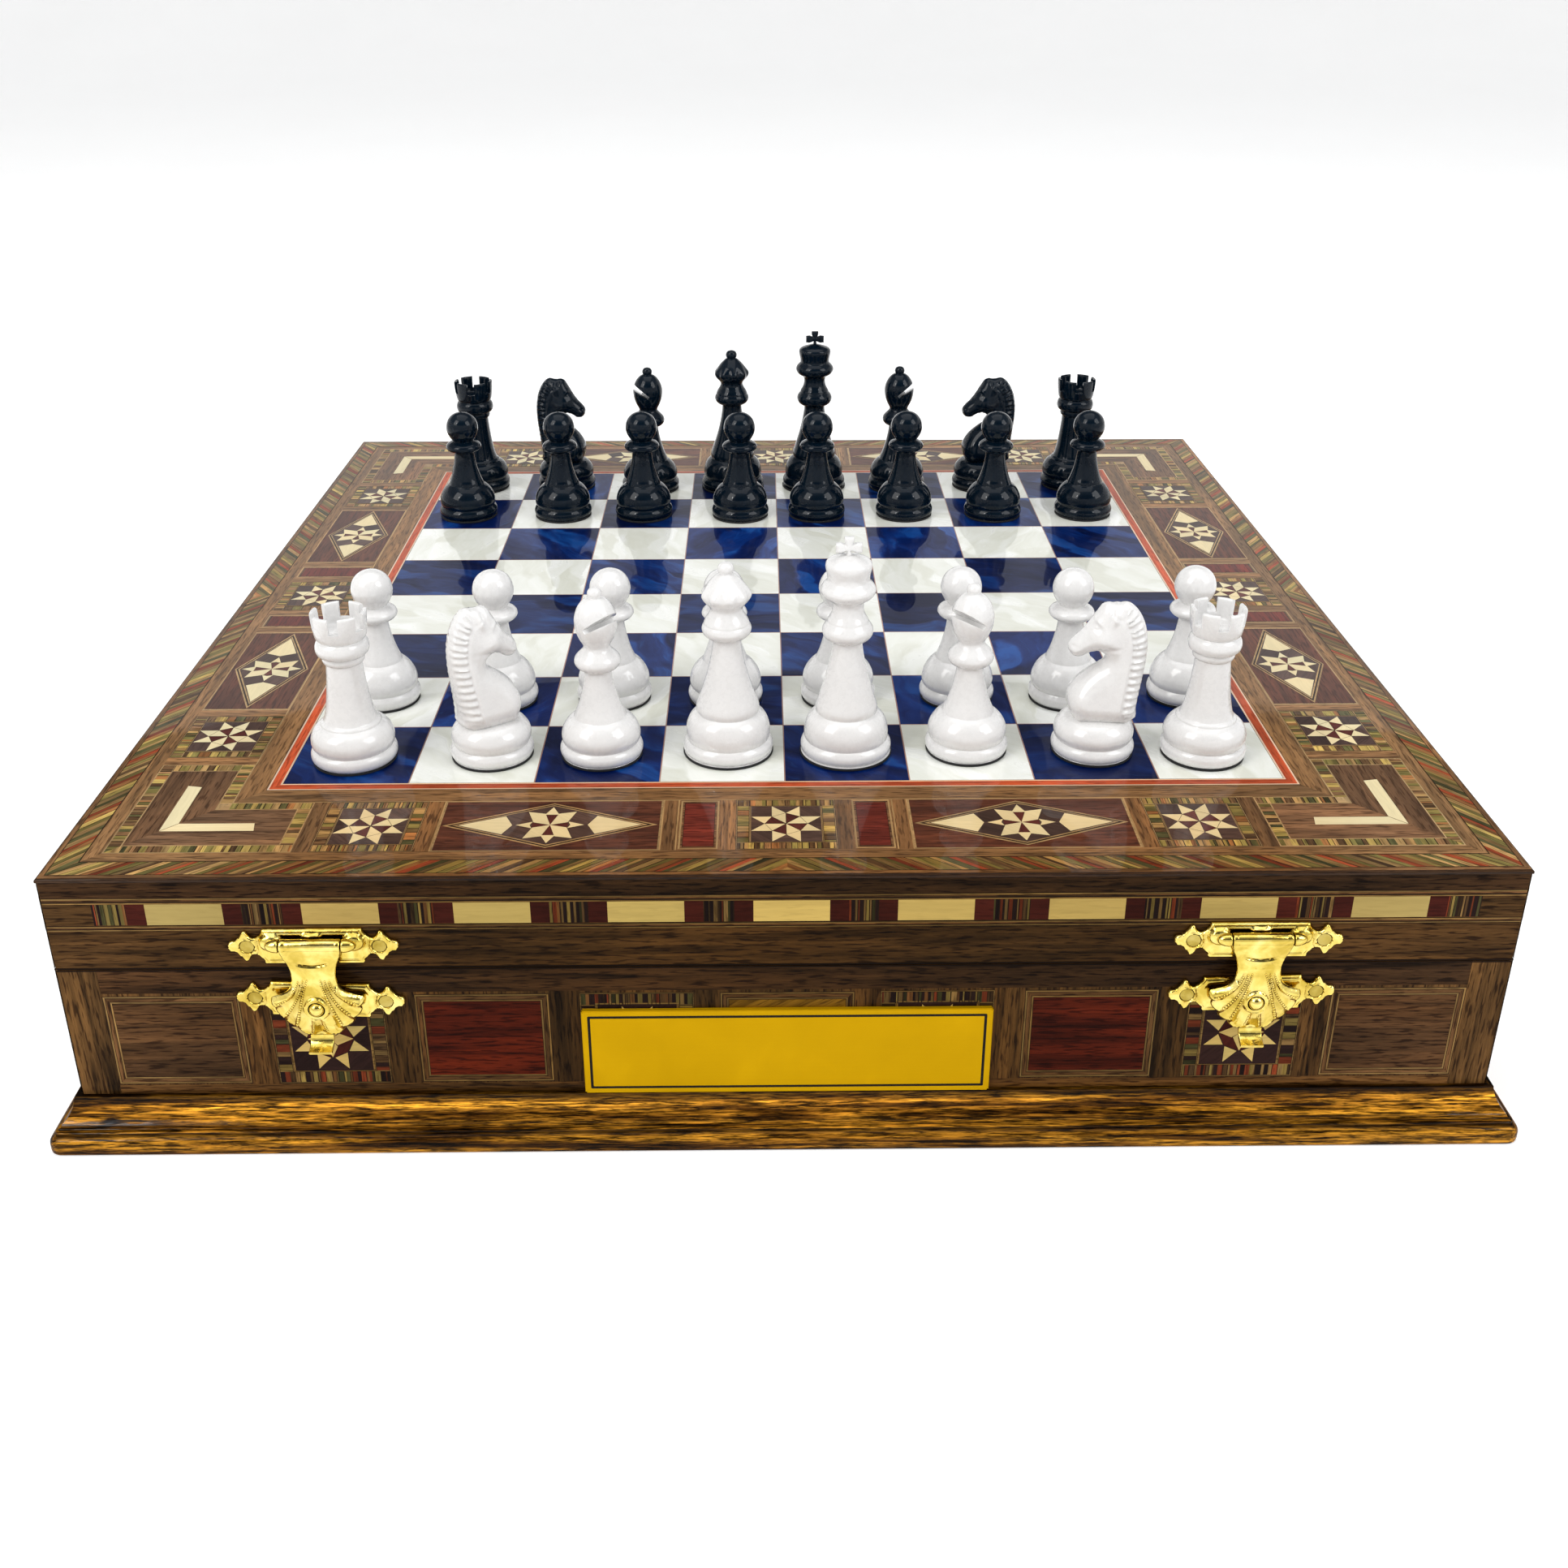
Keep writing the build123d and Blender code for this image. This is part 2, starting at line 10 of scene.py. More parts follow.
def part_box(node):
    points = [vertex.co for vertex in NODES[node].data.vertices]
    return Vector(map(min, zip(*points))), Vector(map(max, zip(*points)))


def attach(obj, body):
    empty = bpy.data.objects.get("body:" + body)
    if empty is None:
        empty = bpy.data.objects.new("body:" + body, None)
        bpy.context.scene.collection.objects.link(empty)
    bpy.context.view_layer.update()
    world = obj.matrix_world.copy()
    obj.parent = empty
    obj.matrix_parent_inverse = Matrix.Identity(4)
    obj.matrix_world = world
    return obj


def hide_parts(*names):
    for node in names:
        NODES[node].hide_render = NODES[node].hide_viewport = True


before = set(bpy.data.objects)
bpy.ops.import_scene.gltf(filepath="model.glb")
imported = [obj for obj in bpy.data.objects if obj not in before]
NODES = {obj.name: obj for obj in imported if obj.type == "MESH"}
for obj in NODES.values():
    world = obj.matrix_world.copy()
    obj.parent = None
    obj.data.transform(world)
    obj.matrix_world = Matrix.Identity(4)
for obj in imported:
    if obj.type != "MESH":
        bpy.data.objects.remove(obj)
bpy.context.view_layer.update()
MM = 0.001

# shared sizes, millimetres (the same as the construction model)
SQ = 26.5
CASE = 143.5
PLINTH_H = 10.8
SPLIT_LOW, SPLIT_HIGH = 40.9, 41.1
TOP = 61.7
TOPV = 0.8
BOARD = 106.0
HASP_X, PIN_Y, PIN_Z = 92.0, -146.0, 48.0
PLATE_Z, CATCH_Z = 46.7, 34.2


# ---------------------------------------------------------------------------
# node helpers
# ---------------------------------------------------------------------------
class Mat:
    def __init__(self, name, **sockets):
        self.m = bpy.data.materials.new(name)
        self.m.use_nodes = True
        self.nt = self.m.node_tree
        self.b = self.nt.nodes["Principled BSDF"]
        for k, v in sockets.items():
            self.set(k, v)

    def set(self, key, v):
        s = self.b.inputs[key.replace("_", " ")]
        s.default_value = v if not isinstance(v, tuple) or len(v) == 4 or len(s.default_value) == 3 else (*v, 1.0)

    def n(self, kind, inputs=None, **props):
        nd = self.nt.nodes.new(kind)
        for k, v in props.items():
            setattr(nd, k, v)
        for k, v in (inputs or {}).items():
            s = nd.inputs[k]
            if hasattr(v, "is_output"):
                self.nt.links.new(v, s)
            else:
                s.default_value = v
        return nd

    def link(self, a, b):
        self.nt.links.new(a, b)

    def coords(self, kind="Object"):
        return self.n("ShaderNodeTexCoord").outputs[kind]

    def mapped(self, vec, scale=(1, 1, 1), loc=(0, 0, 0), rot=(0, 0, 0)):
        return self.n("ShaderNodeMapping", {"Vector": vec, "Scale": scale, "Location": loc, "Rotation": rot}).outputs[0]

    def noise(self, vec, scale, detail=4.0, rough=0.55, dist=0.0, out="Fac"):
        return self.n("ShaderNodeTexNoise", {"Vector": vec, "Scale": scale, "Detail": detail, "Roughness": rough,
                                             "Distortion": dist}).outputs[out]

    def ramp(self, fac, stops, mode="LINEAR"):
        r = self.n("ShaderNodeValToRGB", {"Fac": fac})
        cr = r.color_ramp
        cr.interpolation = mode
        while len(cr.elements) < len(stops):
            cr.elements.new(0.5)
        for e, (p, c) in zip(cr.elements, stops):
            e.position = p
            e.color = (c, c, c, 1) if isinstance(c, (int, float)) else (*c, 1)
        return r.outputs[0]

    def mix(self, fac, a, b, blend="MIX"):
        nd = self.n("ShaderNodeMix", data_type="RGBA", blend_type=blend)
        for s, v in ((nd.inputs[0], fac), (nd.inputs[6], a), (nd.inputs[7], b)):
            if hasattr(v, "is_output"):
                self.nt.links.new(v, s)
            elif isinstance(v, tuple) and len(v) == 3:
                s.default_value = (*v, 1)
            else:
                s.default_value = v
        return nd.outputs[2]

    def math(self, op, a, b=0.0, c=0.0):
        nd = self.n("ShaderNodeMath", operation=op)
        for s, v in zip(nd.inputs, (a, b, c)):
            if hasattr(v, "is_output"):
                self.nt.links.new(v, s)
            else:
                s.default_value = v
        return nd.outputs[0]

    def map_range(self, v, a, b, c, d):
        return self.n("ShaderNodeMapRange", {"Value": v, "From Min": a, "From Max": b, "To Min": c,
                                             "To Max": d}).outputs[0]

    def bump(self, height, strength, distance, normal=None):
        nd = self.n("ShaderNodeBump", {"Height": height, "Strength": strength, "Distance": distance})
        if normal is not None:
            self.link(normal, nd.inputs["Normal"])
        return nd.outputs[0]

    def out(self, color=None, rough=None, normal=None, coat_normal=None, metallic=None):
        for k, v in (("Base Color", color), ("Roughness", rough), ("Normal", normal), ("Coat Normal", coat_normal),
                     ("Metallic", metallic)):
            if v is not None:
                self.link(v, self.b.inputs[k])
        return self.m


# ---------------------------------------------------------------------------
# materials
# ---------------------------------------------------------------------------
def mat_inlay(name, glossy):
    """Veneer pieces: species tint and figure strength come with each face, grain runs along U of the map 'grain'."""
    if glossy:
        k = Mat(name, Specular_IOR_Level=0.02, Coat_Weight=0.75, Coat_Roughness=0.03, Coat_IOR=1.26)
    else:
        k = Mat(name, Specular_IOR_Level=0.02, Coat_Weight=0.07, Coat_Roughness=0.14, Coat_IOR=1.35)
    att = k.n("ShaderNodeAttribute", attribute_name="tint")
    tint, fig = att.outputs["Color"], att.outputs["Alpha"]
    uv = k.n("ShaderNodeUVMap", uv_map="grain").outputs[0]
    # tone patches, long streaks, short dark pore dashes and fine fibres, all drawn out along the grain
    patch = k.noise(k.mapped(uv, (12, 60, 1)), 1.0, 3, 0.5, 0.4)
    streak = k.noise(k.mapped(uv, (26, 560, 1)), 1.0, 4, 0.6, 0.5)
    pores = k.noise(k.mapped(uv, (210, 1900, 1)), 1.0, 2, 0.45, 0.1)
    fibre = k.noise(k.mapped(uv, (420, 5200, 1)), 1.0, 2, 0.6, 0.0)
    tone = k.ramp(patch, [(0.30, (0.60, 0.62, 0.66)), (0.50, (1.0, 1.0, 1.0)), (0.70, (1.35, 1.28, 1.15))])
    lo, hi = (0.36, 1.60) if glossy else (0.28, 1.66)
    dark = k.mix(1.0, tone, k.ramp(streak, [(0.32, lo), (0.48, 0.95), (0.66, hi)]), "MULTIPLY")
    dash = k.ramp(pores, [(0.37, (0.24, 0.21, 0.20)), (0.48, (1.0, 1.0, 1.0))])
    dark = k.mix(0.9, dark, dash, "MULTIPLY")
    dark = k.mix(0.6, dark, k.ramp(fibre, [(0.3, 0.72), (0.7, 1.25)]), "MULTIPLY")
    whole = k.mix(fig, (1, 1, 1), dark)
    col = k.mix(1.0, tint, whole, "MULTIPLY")
    if not glossy:
        # the sides are darker towards the middle of each face, with slow cloudy changes of tone
        along = k.n("ShaderNodeSeparateXYZ", {"Vector": along_grain(k, k.coords("Object"))}).outputs[0]
        cloud = k.noise(k.mapped(k.coords("Object"), (9, 9, 30)), 1.0, 3, 0.5)
        away = k.math("ADD", k.math("ABSOLUTE", along), k.math("MULTIPLY", k.math("SUBTRACT", cloud, 0.5), 0.09))
        fall = k.ramp(k.map_range(away, 0.0, 0.145, 0.0, 1.0), [(0.0, (0.47, 0.44, 0.32)), (0.50, (0.56, 0.53, 0.42)),
                                                                      (0.78, (0.84, 0.81, 0.74)), (1.0, (1.05, 1.05, 1.05))])
        col = k.mix(0.9, col, fall, "MULTIPLY")
    else:
        # painted shade: the top is darker and redder along the front length, where the light falls off
        xyz = k.n("ShaderNodeSeparateXYZ", {"Vector": k.coords("Object")})
        yy = xyz.outputs[1]
        mid = k.map_range(k.math("ABSOLUTE", xyz.outputs[0]), 0.092, 0.118, 1.0, 0.0)
        col = k.mix(mid, col, k.ramp(k.map_range(yy, -0.1435, -0.060, 0.0, 1.0),
                                     [(0.0, (0.70, 0.60, 0.44)), (0.07, (0.72, 0.62, 0.46)), (0.11, (0.82, 0.72, 0.60)),
                                      (0.45, (0.90, 0.82, 0.72)), (1.0, (1.0, 1.0, 1.0))]), "MULTIPLY")
    rough = k.map_range(streak, 0.3, 0.7, 0.40, 0.55)
    h = k.math("ADD", k.math("MULTIPLY", pores, 0.7), k.math("MULTIPLY", fibre, 0.3))
    nrm = k.bump(k.math("MULTIPLY", h, fig), 0.30 if not glossy else 0.12, 0.00012)
    obj = k.coords("Object")
    wave = k.noise(obj, 60, 3, 0.5)
    cn = k.bump(wave, 0.05 if glossy else 0.15, 0.0005)
    return k.out(col, rough, nrm, cn)


def square_offset(k, obj):
    """A different random shift of the pattern on each board square."""
    sep = k.n("ShaderNodeSeparateXYZ", {"Vector": obj})
    fx = k.math("FLOOR", k.math("DIVIDE", sep.outputs[0], SQ * MM))
    fy = k.math("FLOOR", k.math("DIVIDE", sep.outputs[1], SQ * MM))
    cell = k.n("ShaderNodeCombineXYZ", {"X": fx, "Y": fy, "Z": 0.0}).outputs[0]
    wn = k.n("ShaderNodeTexWhiteNoise", {"Vector": cell}, noise_dimensions="3D")
    off = k.n("ShaderNodeVectorMath", {0: wn.outputs["Color"], 1: (3.7, 5.1, 2.3)}, operation="MULTIPLY").outputs[0]
    vec = k.n("ShaderNodeVectorMath", {0: obj, 1: off}, operation="ADD").outputs[0]
    # turn the streaks by a random angle too
    ang = k.math("MULTIPLY", wn.outputs["Value"], 2.2)
    rot = k.n("ShaderNodeVectorRotate", {"Vector": vec, "Angle": ang}, rotation_type="Z_AXIS").outputs[0]
    return rot, wn.outputs["Value"]


def mat_blue_pearl():
    """Blue pearl sheet under a thick polished lacquer: long soft flakes that differ from square to square."""
    k = Mat("blue_pearl", Metallic=0.30, Specular_IOR_Level=0.02, Coat_Weight=0.6, Coat_Roughness=0.008, Coat_IOR=1.20)
    vec, rnd = square_offset(k, k.coords("Object"))
    warp = k.noise(vec, 60, 3, 0.5, out="Color")
    bent = k.n("ShaderNodeVectorMath", {0: vec, 1: k.n("ShaderNodeVectorMath", {0: warp, 1: (0.012, 0.012, 0.0)},
                                                       operation="MULTIPLY").outputs[0]}, operation="ADD").outputs[0]
    flake = k.n("ShaderNodeTexVoronoi", {"Vector": k.mapped(bent, (70, 190, 70)), "Scale": 1.0, "Smoothness": 0.35},
                feature="SMOOTH_F1")
    cell = k.n("ShaderNodeSeparateXYZ", {"Vector": flake.outputs["Color"]}).outputs[0]
    swirl = k.noise(k.mapped(bent, (45, 160, 40)), 1.0, 4, 0.6, 1.6)
    fine = k.noise(k.mapped(bent, (160, 900, 160)), 1.0, 3, 0.6, 0.8)
    v = k.math("ADD", k.math("MULTIPLY", cell, 0.55), k.math("MULTIPLY", swirl, 0.6))
    col = k.ramp(v, [(0.30, (0.0006, 0.006, 0.055)), (0.52, (0.0012, 0.013, 0.105)), (0.70, (0.003, 0.03, 0.19)),
                     (0.88, (0.010, 0.085, 0.36))])
    col = k.mix(k.map_range(fine, 0.62, 0.8, 0.0, 0.30), col, (0.02, 0.13, 0.45))
    col = k.mix(1.0, col, k.ramp(rnd, [(0.0, 0.50), (1.0, 1.0)]), "MULTIPLY")
    rough = k.map_range(v, 0.3, 0.8, 0.42, 0.28)
    return k.out(col, rough, k.bump(v, 0.2, 0.0004), None)


def mat_white_pearl():
    k = Mat("white_pearl", Specular_IOR_Level=0.3, Coat_Weight=1.0, Coat_Roughness=0.008, Coat_IOR=1.5)
    vec, rnd = square_offset(k, k.coords("Object"))
    warp = k.noise(vec, 60, 3, 0.5, out="Color")
    bent = k.n("ShaderNodeVectorMath", {0: vec, 1: k.n("ShaderNodeVectorMath", {0: warp, 1: (0.012, 0.012, 0.0)},
                                                       operation="MULTIPLY").outputs[0]}, operation="ADD").outputs[0]
    flake = k.n("ShaderNodeTexVoronoi", {"Vector": k.mapped(bent, (80, 210, 80)), "Scale": 1.0, "Smoothness": 0.3},
                feature="SMOOTH_F1")
    cell = k.n("ShaderNodeSeparateXYZ", {"Vector": flake.outputs["Color"]}).outputs[0]
    swirl = k.noise(k.mapped(bent, (50, 170, 40)), 1.0, 4, 0.6, 1.6)
    glint = k.noise(k.mapped(bent, (140, 700, 140)), 1.0, 3, 0.6, 1.2)
    v = k.math("ADD", k.math("MULTIPLY", cell, 0.5), k.math("MULTIPLY", swirl, 0.6))
    col = k.ramp(v, [(0.30, (0.66, 0.665, 0.58)), (0.52, (0.74, 0.75, 0.68)), (0.70, (0.80, 0.81, 0.76)),
                     (0.88, (0.88, 0.89, 0.86))])
    col = k.mix(k.map_range(glint, 0.64, 0.78, 0.0, 0.7), col, (0.86, 0.87, 0.86))
    col = k.mix(1.0, col, k.ramp(rnd, [(0.0, 0.95), (1.0, 1.04)]), "MULTIPLY")
    rough = k.map_range(v, 0.3, 0.8, 0.45, 0.25)
    return k.out(col, rough, k.bump(v, 0.15, 0.0003), None)


def mat_enamel(name, base, alt, speck, rough_lo, rough_hi, bump, coat=0.7, coat_rough=0.06, spec=0.5, ior=1.5):
    k = Mat(name, Coat_Weight=coat, Coat_Roughness=coat_rough, Coat_IOR=ior, Specular_IOR_Level=spec)
    obj = k.coords("Object")
    big = k.noise(obj, 160, 3, 0.5, 0.4)
    small = k.noise(obj, 900, 3, 0.6)
    col = k.mix(k.map_range(big, 0.35, 0.65, 0.0, 1.0), base, alt)
    col = k.mix(k.map_range(small, 0.66, 0.78, 0.0, 0.35), col, speck)
    rough = k.map_range(small, 0.3, 0.7, rough_lo, rough_hi)
    orange = k.math("ADD", k.math("MULTIPLY", big, 0.7), k.math("MULTIPLY", small, 0.3))
    return k.out(col, rough, k.bump(orange, bump, 0.0005), k.bump(big, bump * 0.7, 0.0005))


def mat_gold(name="gilt_brass", shade=1.0):
    k = Mat(name, Metallic=1.0)
    obj = k.coords("Object")
    tone = k.noise(obj, 260, 3, 0.55, 0.5)
    fine = k.noise(obj, 2600, 3, 0.6)
    col = k.ramp(tone, [(0.34, (0.58, 0.415, 0.065)), (0.48, (0.75, 0.57, 0.125)), (0.58, (0.85, 0.67, 0.185)), (0.72, (0.93, 0.76, 0.26))])
    # painted shade: ambient occlusion darkens the gilt colour in the recesses
    painted_recess_shade = k.n("ShaderNodeAmbientOcclusion", {"Distance": 0.0013}, samples=6, only_local=False).outputs["AO"]
    col = k.mix(1.0, col, k.ramp(painted_recess_shade, [(0.25, (0.10, 0.065, 0.010)), (0.60, (0.52, 0.46, 0.34)), (0.86, (1.0, 1.0, 1.0))]), "MULTIPLY")
    col = k.mix(1.0, col, k.ramp(tone, [(0.0, (shade, shade * 0.97, shade * 0.85)), (1.0, (shade, shade * 0.97, shade * 0.85))]),
                "MULTIPLY") if shade < 1 else col
    rough = k.ramp(fine, [(0.3, 0.09), (0.7, 0.20)])
    return k.out(col, rough, k.bump(tone, 0.22, 0.0005, k.bump(fine, 0.06, 0.00006)))


def mat_plate():
    k = Mat("satin_plate", Metallic=0.55, Specular_IOR_Level=0.04)
    obj = k.coords("Object")
    brushed = k.noise(k.mapped(obj, (40, 60, 4200)), 1.0, 3, 0.6)
    mott = k.noise(obj, 70, 3, 0.5, 0.3)
    grit = k.noise(obj, 3600, 2, 0.5)
    col = k.ramp(mott, [(0.3, (0.475, 0.272, 0.0006)), (0.55, (0.505, 0.290, 0.0008)), (0.75, (0.545, 0.315, 0.0012))])
    rough = k.ramp(k.math("ADD", k.math("MULTIPLY", brushed, 0.5), k.math("MULTIPLY", grit, 0.5)),
                   [(0.35, 0.42), (0.65, 0.55)])
    return k.out(col, rough, k.bump(grit, 0.12, 0.00004, k.bump(brushed, 0.06, 0.00006)))


def mat_line():
    k = Mat("plate_line", Specular_IOR_Level=0.05)
    obj = k.coords("Object")
    g = k.noise(obj, 2400, 3, 0.6)
    return k.out(k.ramp(g, [(0.3, (0.006, 0.005, 0.004)), (0.7, (0.018, 0.015, 0.011))]), k.map_range(g, 0.3, 0.7, 0.5, 0.7))


def along_grain(k, obj):
    """Coordinates whose X runs along the member: X for front/back members, Y for side members."""
    sep = k.n("ShaderNodeSeparateXYZ", {"Vector": obj})
    ax = k.math("ABSOLUTE", sep.outputs[0])
    ay = k.math("ABSOLUTE", sep.outputs[1])
    side = k.math("GREATER_THAN", ax, ay)
    swapped = k.n("ShaderNodeCombineXYZ", {"X": sep.outputs[1], "Y": k.math("ADD", sep.outputs[0], 3.3),
                                           "Z": sep.outputs[2]}).outputs[0]
    nd = k.n("ShaderNodeMix", {0: side}, data_type="VECTOR")
    k.link(obj, nd.inputs[4])
    k.link(swapped, nd.inputs[5])
    return nd.outputs[1]


def mat_plinth():
    """Brown streaked moulding; painted shade darkens the quirks of the profile, its foot and the strip under the case,
    and painted highlights brighten the edges of its steps.
    """
    k = Mat("moulding_wood", Specular_IOR_Level=0.01, Coat_Weight=0.30, Coat_Roughness=0.06, Coat_IOR=1.26)
    obj = k.coords("Object")
    vec = along_grain(k, obj)
    broad = k.noise(k.mapped(vec, (16, 330, 420)), 1.0, 4, 0.62, 0.4)
    streak = k.noise(k.mapped(vec, (130, 1900, 2100)), 1.0, 4, 0.65, 0.3)
    pore = k.noise(k.mapped(vec, (300, 3300, 3600)), 1.0, 2, 0.5)
    patch = k.noise(k.mapped(vec, (11, 11, 11)), 1.0, 2, 0.5)
    col = k.ramp(broad, [(0.32, (0.014, 0.0055, 0.0008)), (0.42, (0.055, 0.020, 0.002)), (0.50, (0.19, 0.077, 0.0065)),
                         (0.60, (0.42, 0.185, 0.015)), (0.74, (0.24, 0.098, 0.008))])
    col = k.mix(1.0, col, k.ramp(streak, [(0.40, 0.10), (0.49, 0.80), (0.60, 1.75)]), "MULTIPLY")
    col = k.mix(0.9, col, k.ramp(pore, [(0.36, 0.2), (0.47, 1.0)]), "MULTIPLY")
    col = k.mix(0.8, col, k.ramp(patch, [(0.35, 0.6), (0.65, 1.3)]), "MULTIPLY")
    z = k.n("ShaderNodeSeparateXYZ", {"Vector": obj}).outputs[2]
    wob = k.math("MULTIPLY", k.math("SUBTRACT", streak, 0.5), 0.0006)
    zz = k.map_range(k.math("ADD", z, wob), 0.0, 0.0108, 0.0, 1.0)
    # painted shade and painted highlights: bands by height darken the quirks, the foot and the strip under the case,
    # and brighten the step edges
    painted_shade_and_highlights = k.ramp(zz, [(0.0, 0.7), (0.06, 1.0), (0.34, 1.0), (0.375, 0.16), (0.425, 0.16), (0.445, 1.25), (0.475, 0.30),
                       (0.50, 1.2), (0.53, 0.35), (0.56, 1.4), (0.74, 1.7), (0.80, 2.6), (0.86, 1.2), (0.93, 0.25),
                       (1.0, 0.12)])
    col = k.mix(0.9, col, painted_shade_and_highlights, "MULTIPLY")
    # old nail hole at the left end of the front length
    hole = k.n("ShaderNodeVectorMath", {0: obj, 1: (-0.1372, -0.1466, 0.0064)}, operation="SUBTRACT").outputs[0]
    hole = k.n("ShaderNodeVectorMath", {0: k.mapped(hole, (0.6, 1, 1))}, operation="LENGTH").outputs["Value"]
    hole = k.math("ADD", hole, k.math("MULTIPLY", k.math("SUBTRACT", streak, 0.5), 0.0010))
    col = k.mix(k.ramp(k.map_range(hole, 0.0006, 0.0014, 0.0, 1.0), [(0.0, 0.95), (1.0, 0.0)]), col, (0.004, 0.004, 0.006))
    rough = k.map_range(streak, 0.3, 0.7, 0.35, 0.5)
    wave = k.noise(k.mapped(vec, (60, 300, 300)), 1.0, 3, 0.5)
    return k.out(col, rough, k.bump(pore, 0.3, 0.0001), k.bump(wave, 0.3, 0.0006))


def mat_inside_wood():
    k = Mat("inside_wood", Coat_Weight=0.15, Coat_Roughness=0.3)
    vec = along_grain(k, k.coords("Object"))
    ring = k.noise(k.mapped(vec, (9, 130, 160)), 1.0, 4, 0.6, 0.5)
    fibre = k.noise(k.mapped(vec, (60, 1800, 1800)), 1.0, 3, 0.6)
    col = k.ramp(ring, [(0.3, (0.10, 0.045, 0.018)), (0.5, (0.20, 0.10, 0.045)), (0.7, (0.28, 0.155, 0.07))])
    col = k.mix(0.5, col, k.ramp(fibre, [(0.34, 0.55), (0.6, 1.15)]), "MULTIPLY")
    return k.out(col, k.map_range(fibre, 0.3, 0.7, 0.42, 0.6), k.bump(fibre, 0.25, 0.0001))


def mat_felt():
    k = Mat("felt", Sheen_Weight=0.5, Sheen_Roughness=0.5, Sheen_Tint=(0.45, 0.55, 0.95))
    obj = k.coords("Object")
    nap = k.noise(obj, 700, 5, 0.7, 0.6)
    lay = k.noise(obj, 30, 3, 0.5)
    col = k.ramp(nap, [(0.3, (0.008, 0.016, 0.07)), (0.6, (0.02, 0.04, 0.16)), (0.8, (0.035, 0.06, 0.22))])
    col = k.mix(0.4, col, k.ramp(lay, [(0.3, 0.75), (0.7, 1.2)]), "MULTIPLY")
    return k.out(col, k.map_range(nap, 0.3, 0.7, 0.85, 1.0), k.bump(nap, 0.6, 0.0004))


def mat_dark_felt():
    k = Mat("base_felt", Roughness=0.95)
    nap = k.noise(k.coords("Object"), 1400, 4, 0.6)
    return k.out(k.ramp(nap, [(0.3, (0.006, 0.006, 0.007)), (0.7, (0.02, 0.02, 0.022))]),
                 k.map_range(nap, 0.3, 0.7, 0.85, 1.0), k.bump(nap, 0.5, 0.0002))


def mat_floor():
    k = Mat("pale_floor", Specular_IOR_Level=0.0, Emission_Color=(1, 1, 1, 1), Emission_Strength=0.36)
    n = k.noise(k.coords("Object"), 8, 2, 0.5)
    return k.out(k.ramp(n, [(0.3, (0.80, 0.80, 0.80)), (0.7, (0.82, 0.82, 0.82))]), k.map_range(n, 0.3, 0.7, 0.8, 0.9))


INLAY = {"top": mat_inlay("inlay_top", True), "side": mat_inlay("inlay_side", False)}
BLUE, WHITE = mat_blue_pearl(), mat_white_pearl()
W_ENAMEL = mat_enamel("white_enamel", (0.70, 0.692, 0.684), (0.735, 0.728, 0.72), (0.64, 0.635, 0.63), 0.22, 0.34, 0.045, 0.85, 0.05, 0.35)
B_ENAMEL = mat_enamel("black_enamel", (0.0008, 0.0042, 0.0095), (0.0014, 0.0060, 0.0125), (0.003, 0.009, 0.015), 0.22, 0.34, 0.014, 1.0, 0.015, 0.03, 1.26)
GOLD, SCREW, PLATE, LINE = mat_gold(), mat_gold("gilt_screw", 0.58), mat_plate(), mat_line()
PLINTH, INSIDE, FELT, BASE_FELT = mat_plinth(), mat_inside_wood(), mat_felt(), mat_dark_felt()


# ---------------------------------------------------------------------------
# mesh helpers
# ---------------------------------------------------------------------------
def new_object(name, verts, faces, mats, idx=None, smooth=None, sharp=None):
    me = bpy.data.meshes.new(name)
    me.from_pydata([tuple(v) for v in verts], [], faces)
    for m in mats:
        me.materials.append(m)
    if idx is not None:
        me.polygons.foreach_set("material_index", idx)
    if smooth:
        me.polygons.foreach_set("use_smooth", [True] * len(me.polygons))
    me.validate()
    me.update()
    if smooth and sharp:
        me.set_sharp_from_angle(angle=math.radians(sharp))
    ob = bpy.data.objects.new(name, me)
    bpy.context.scene.collection.objects.link(ob)
    return ob


def dress(node, *mats):
    me = NODES[node].data
    me.materials.clear()
    for m in mats:
        me.materials.append(m)


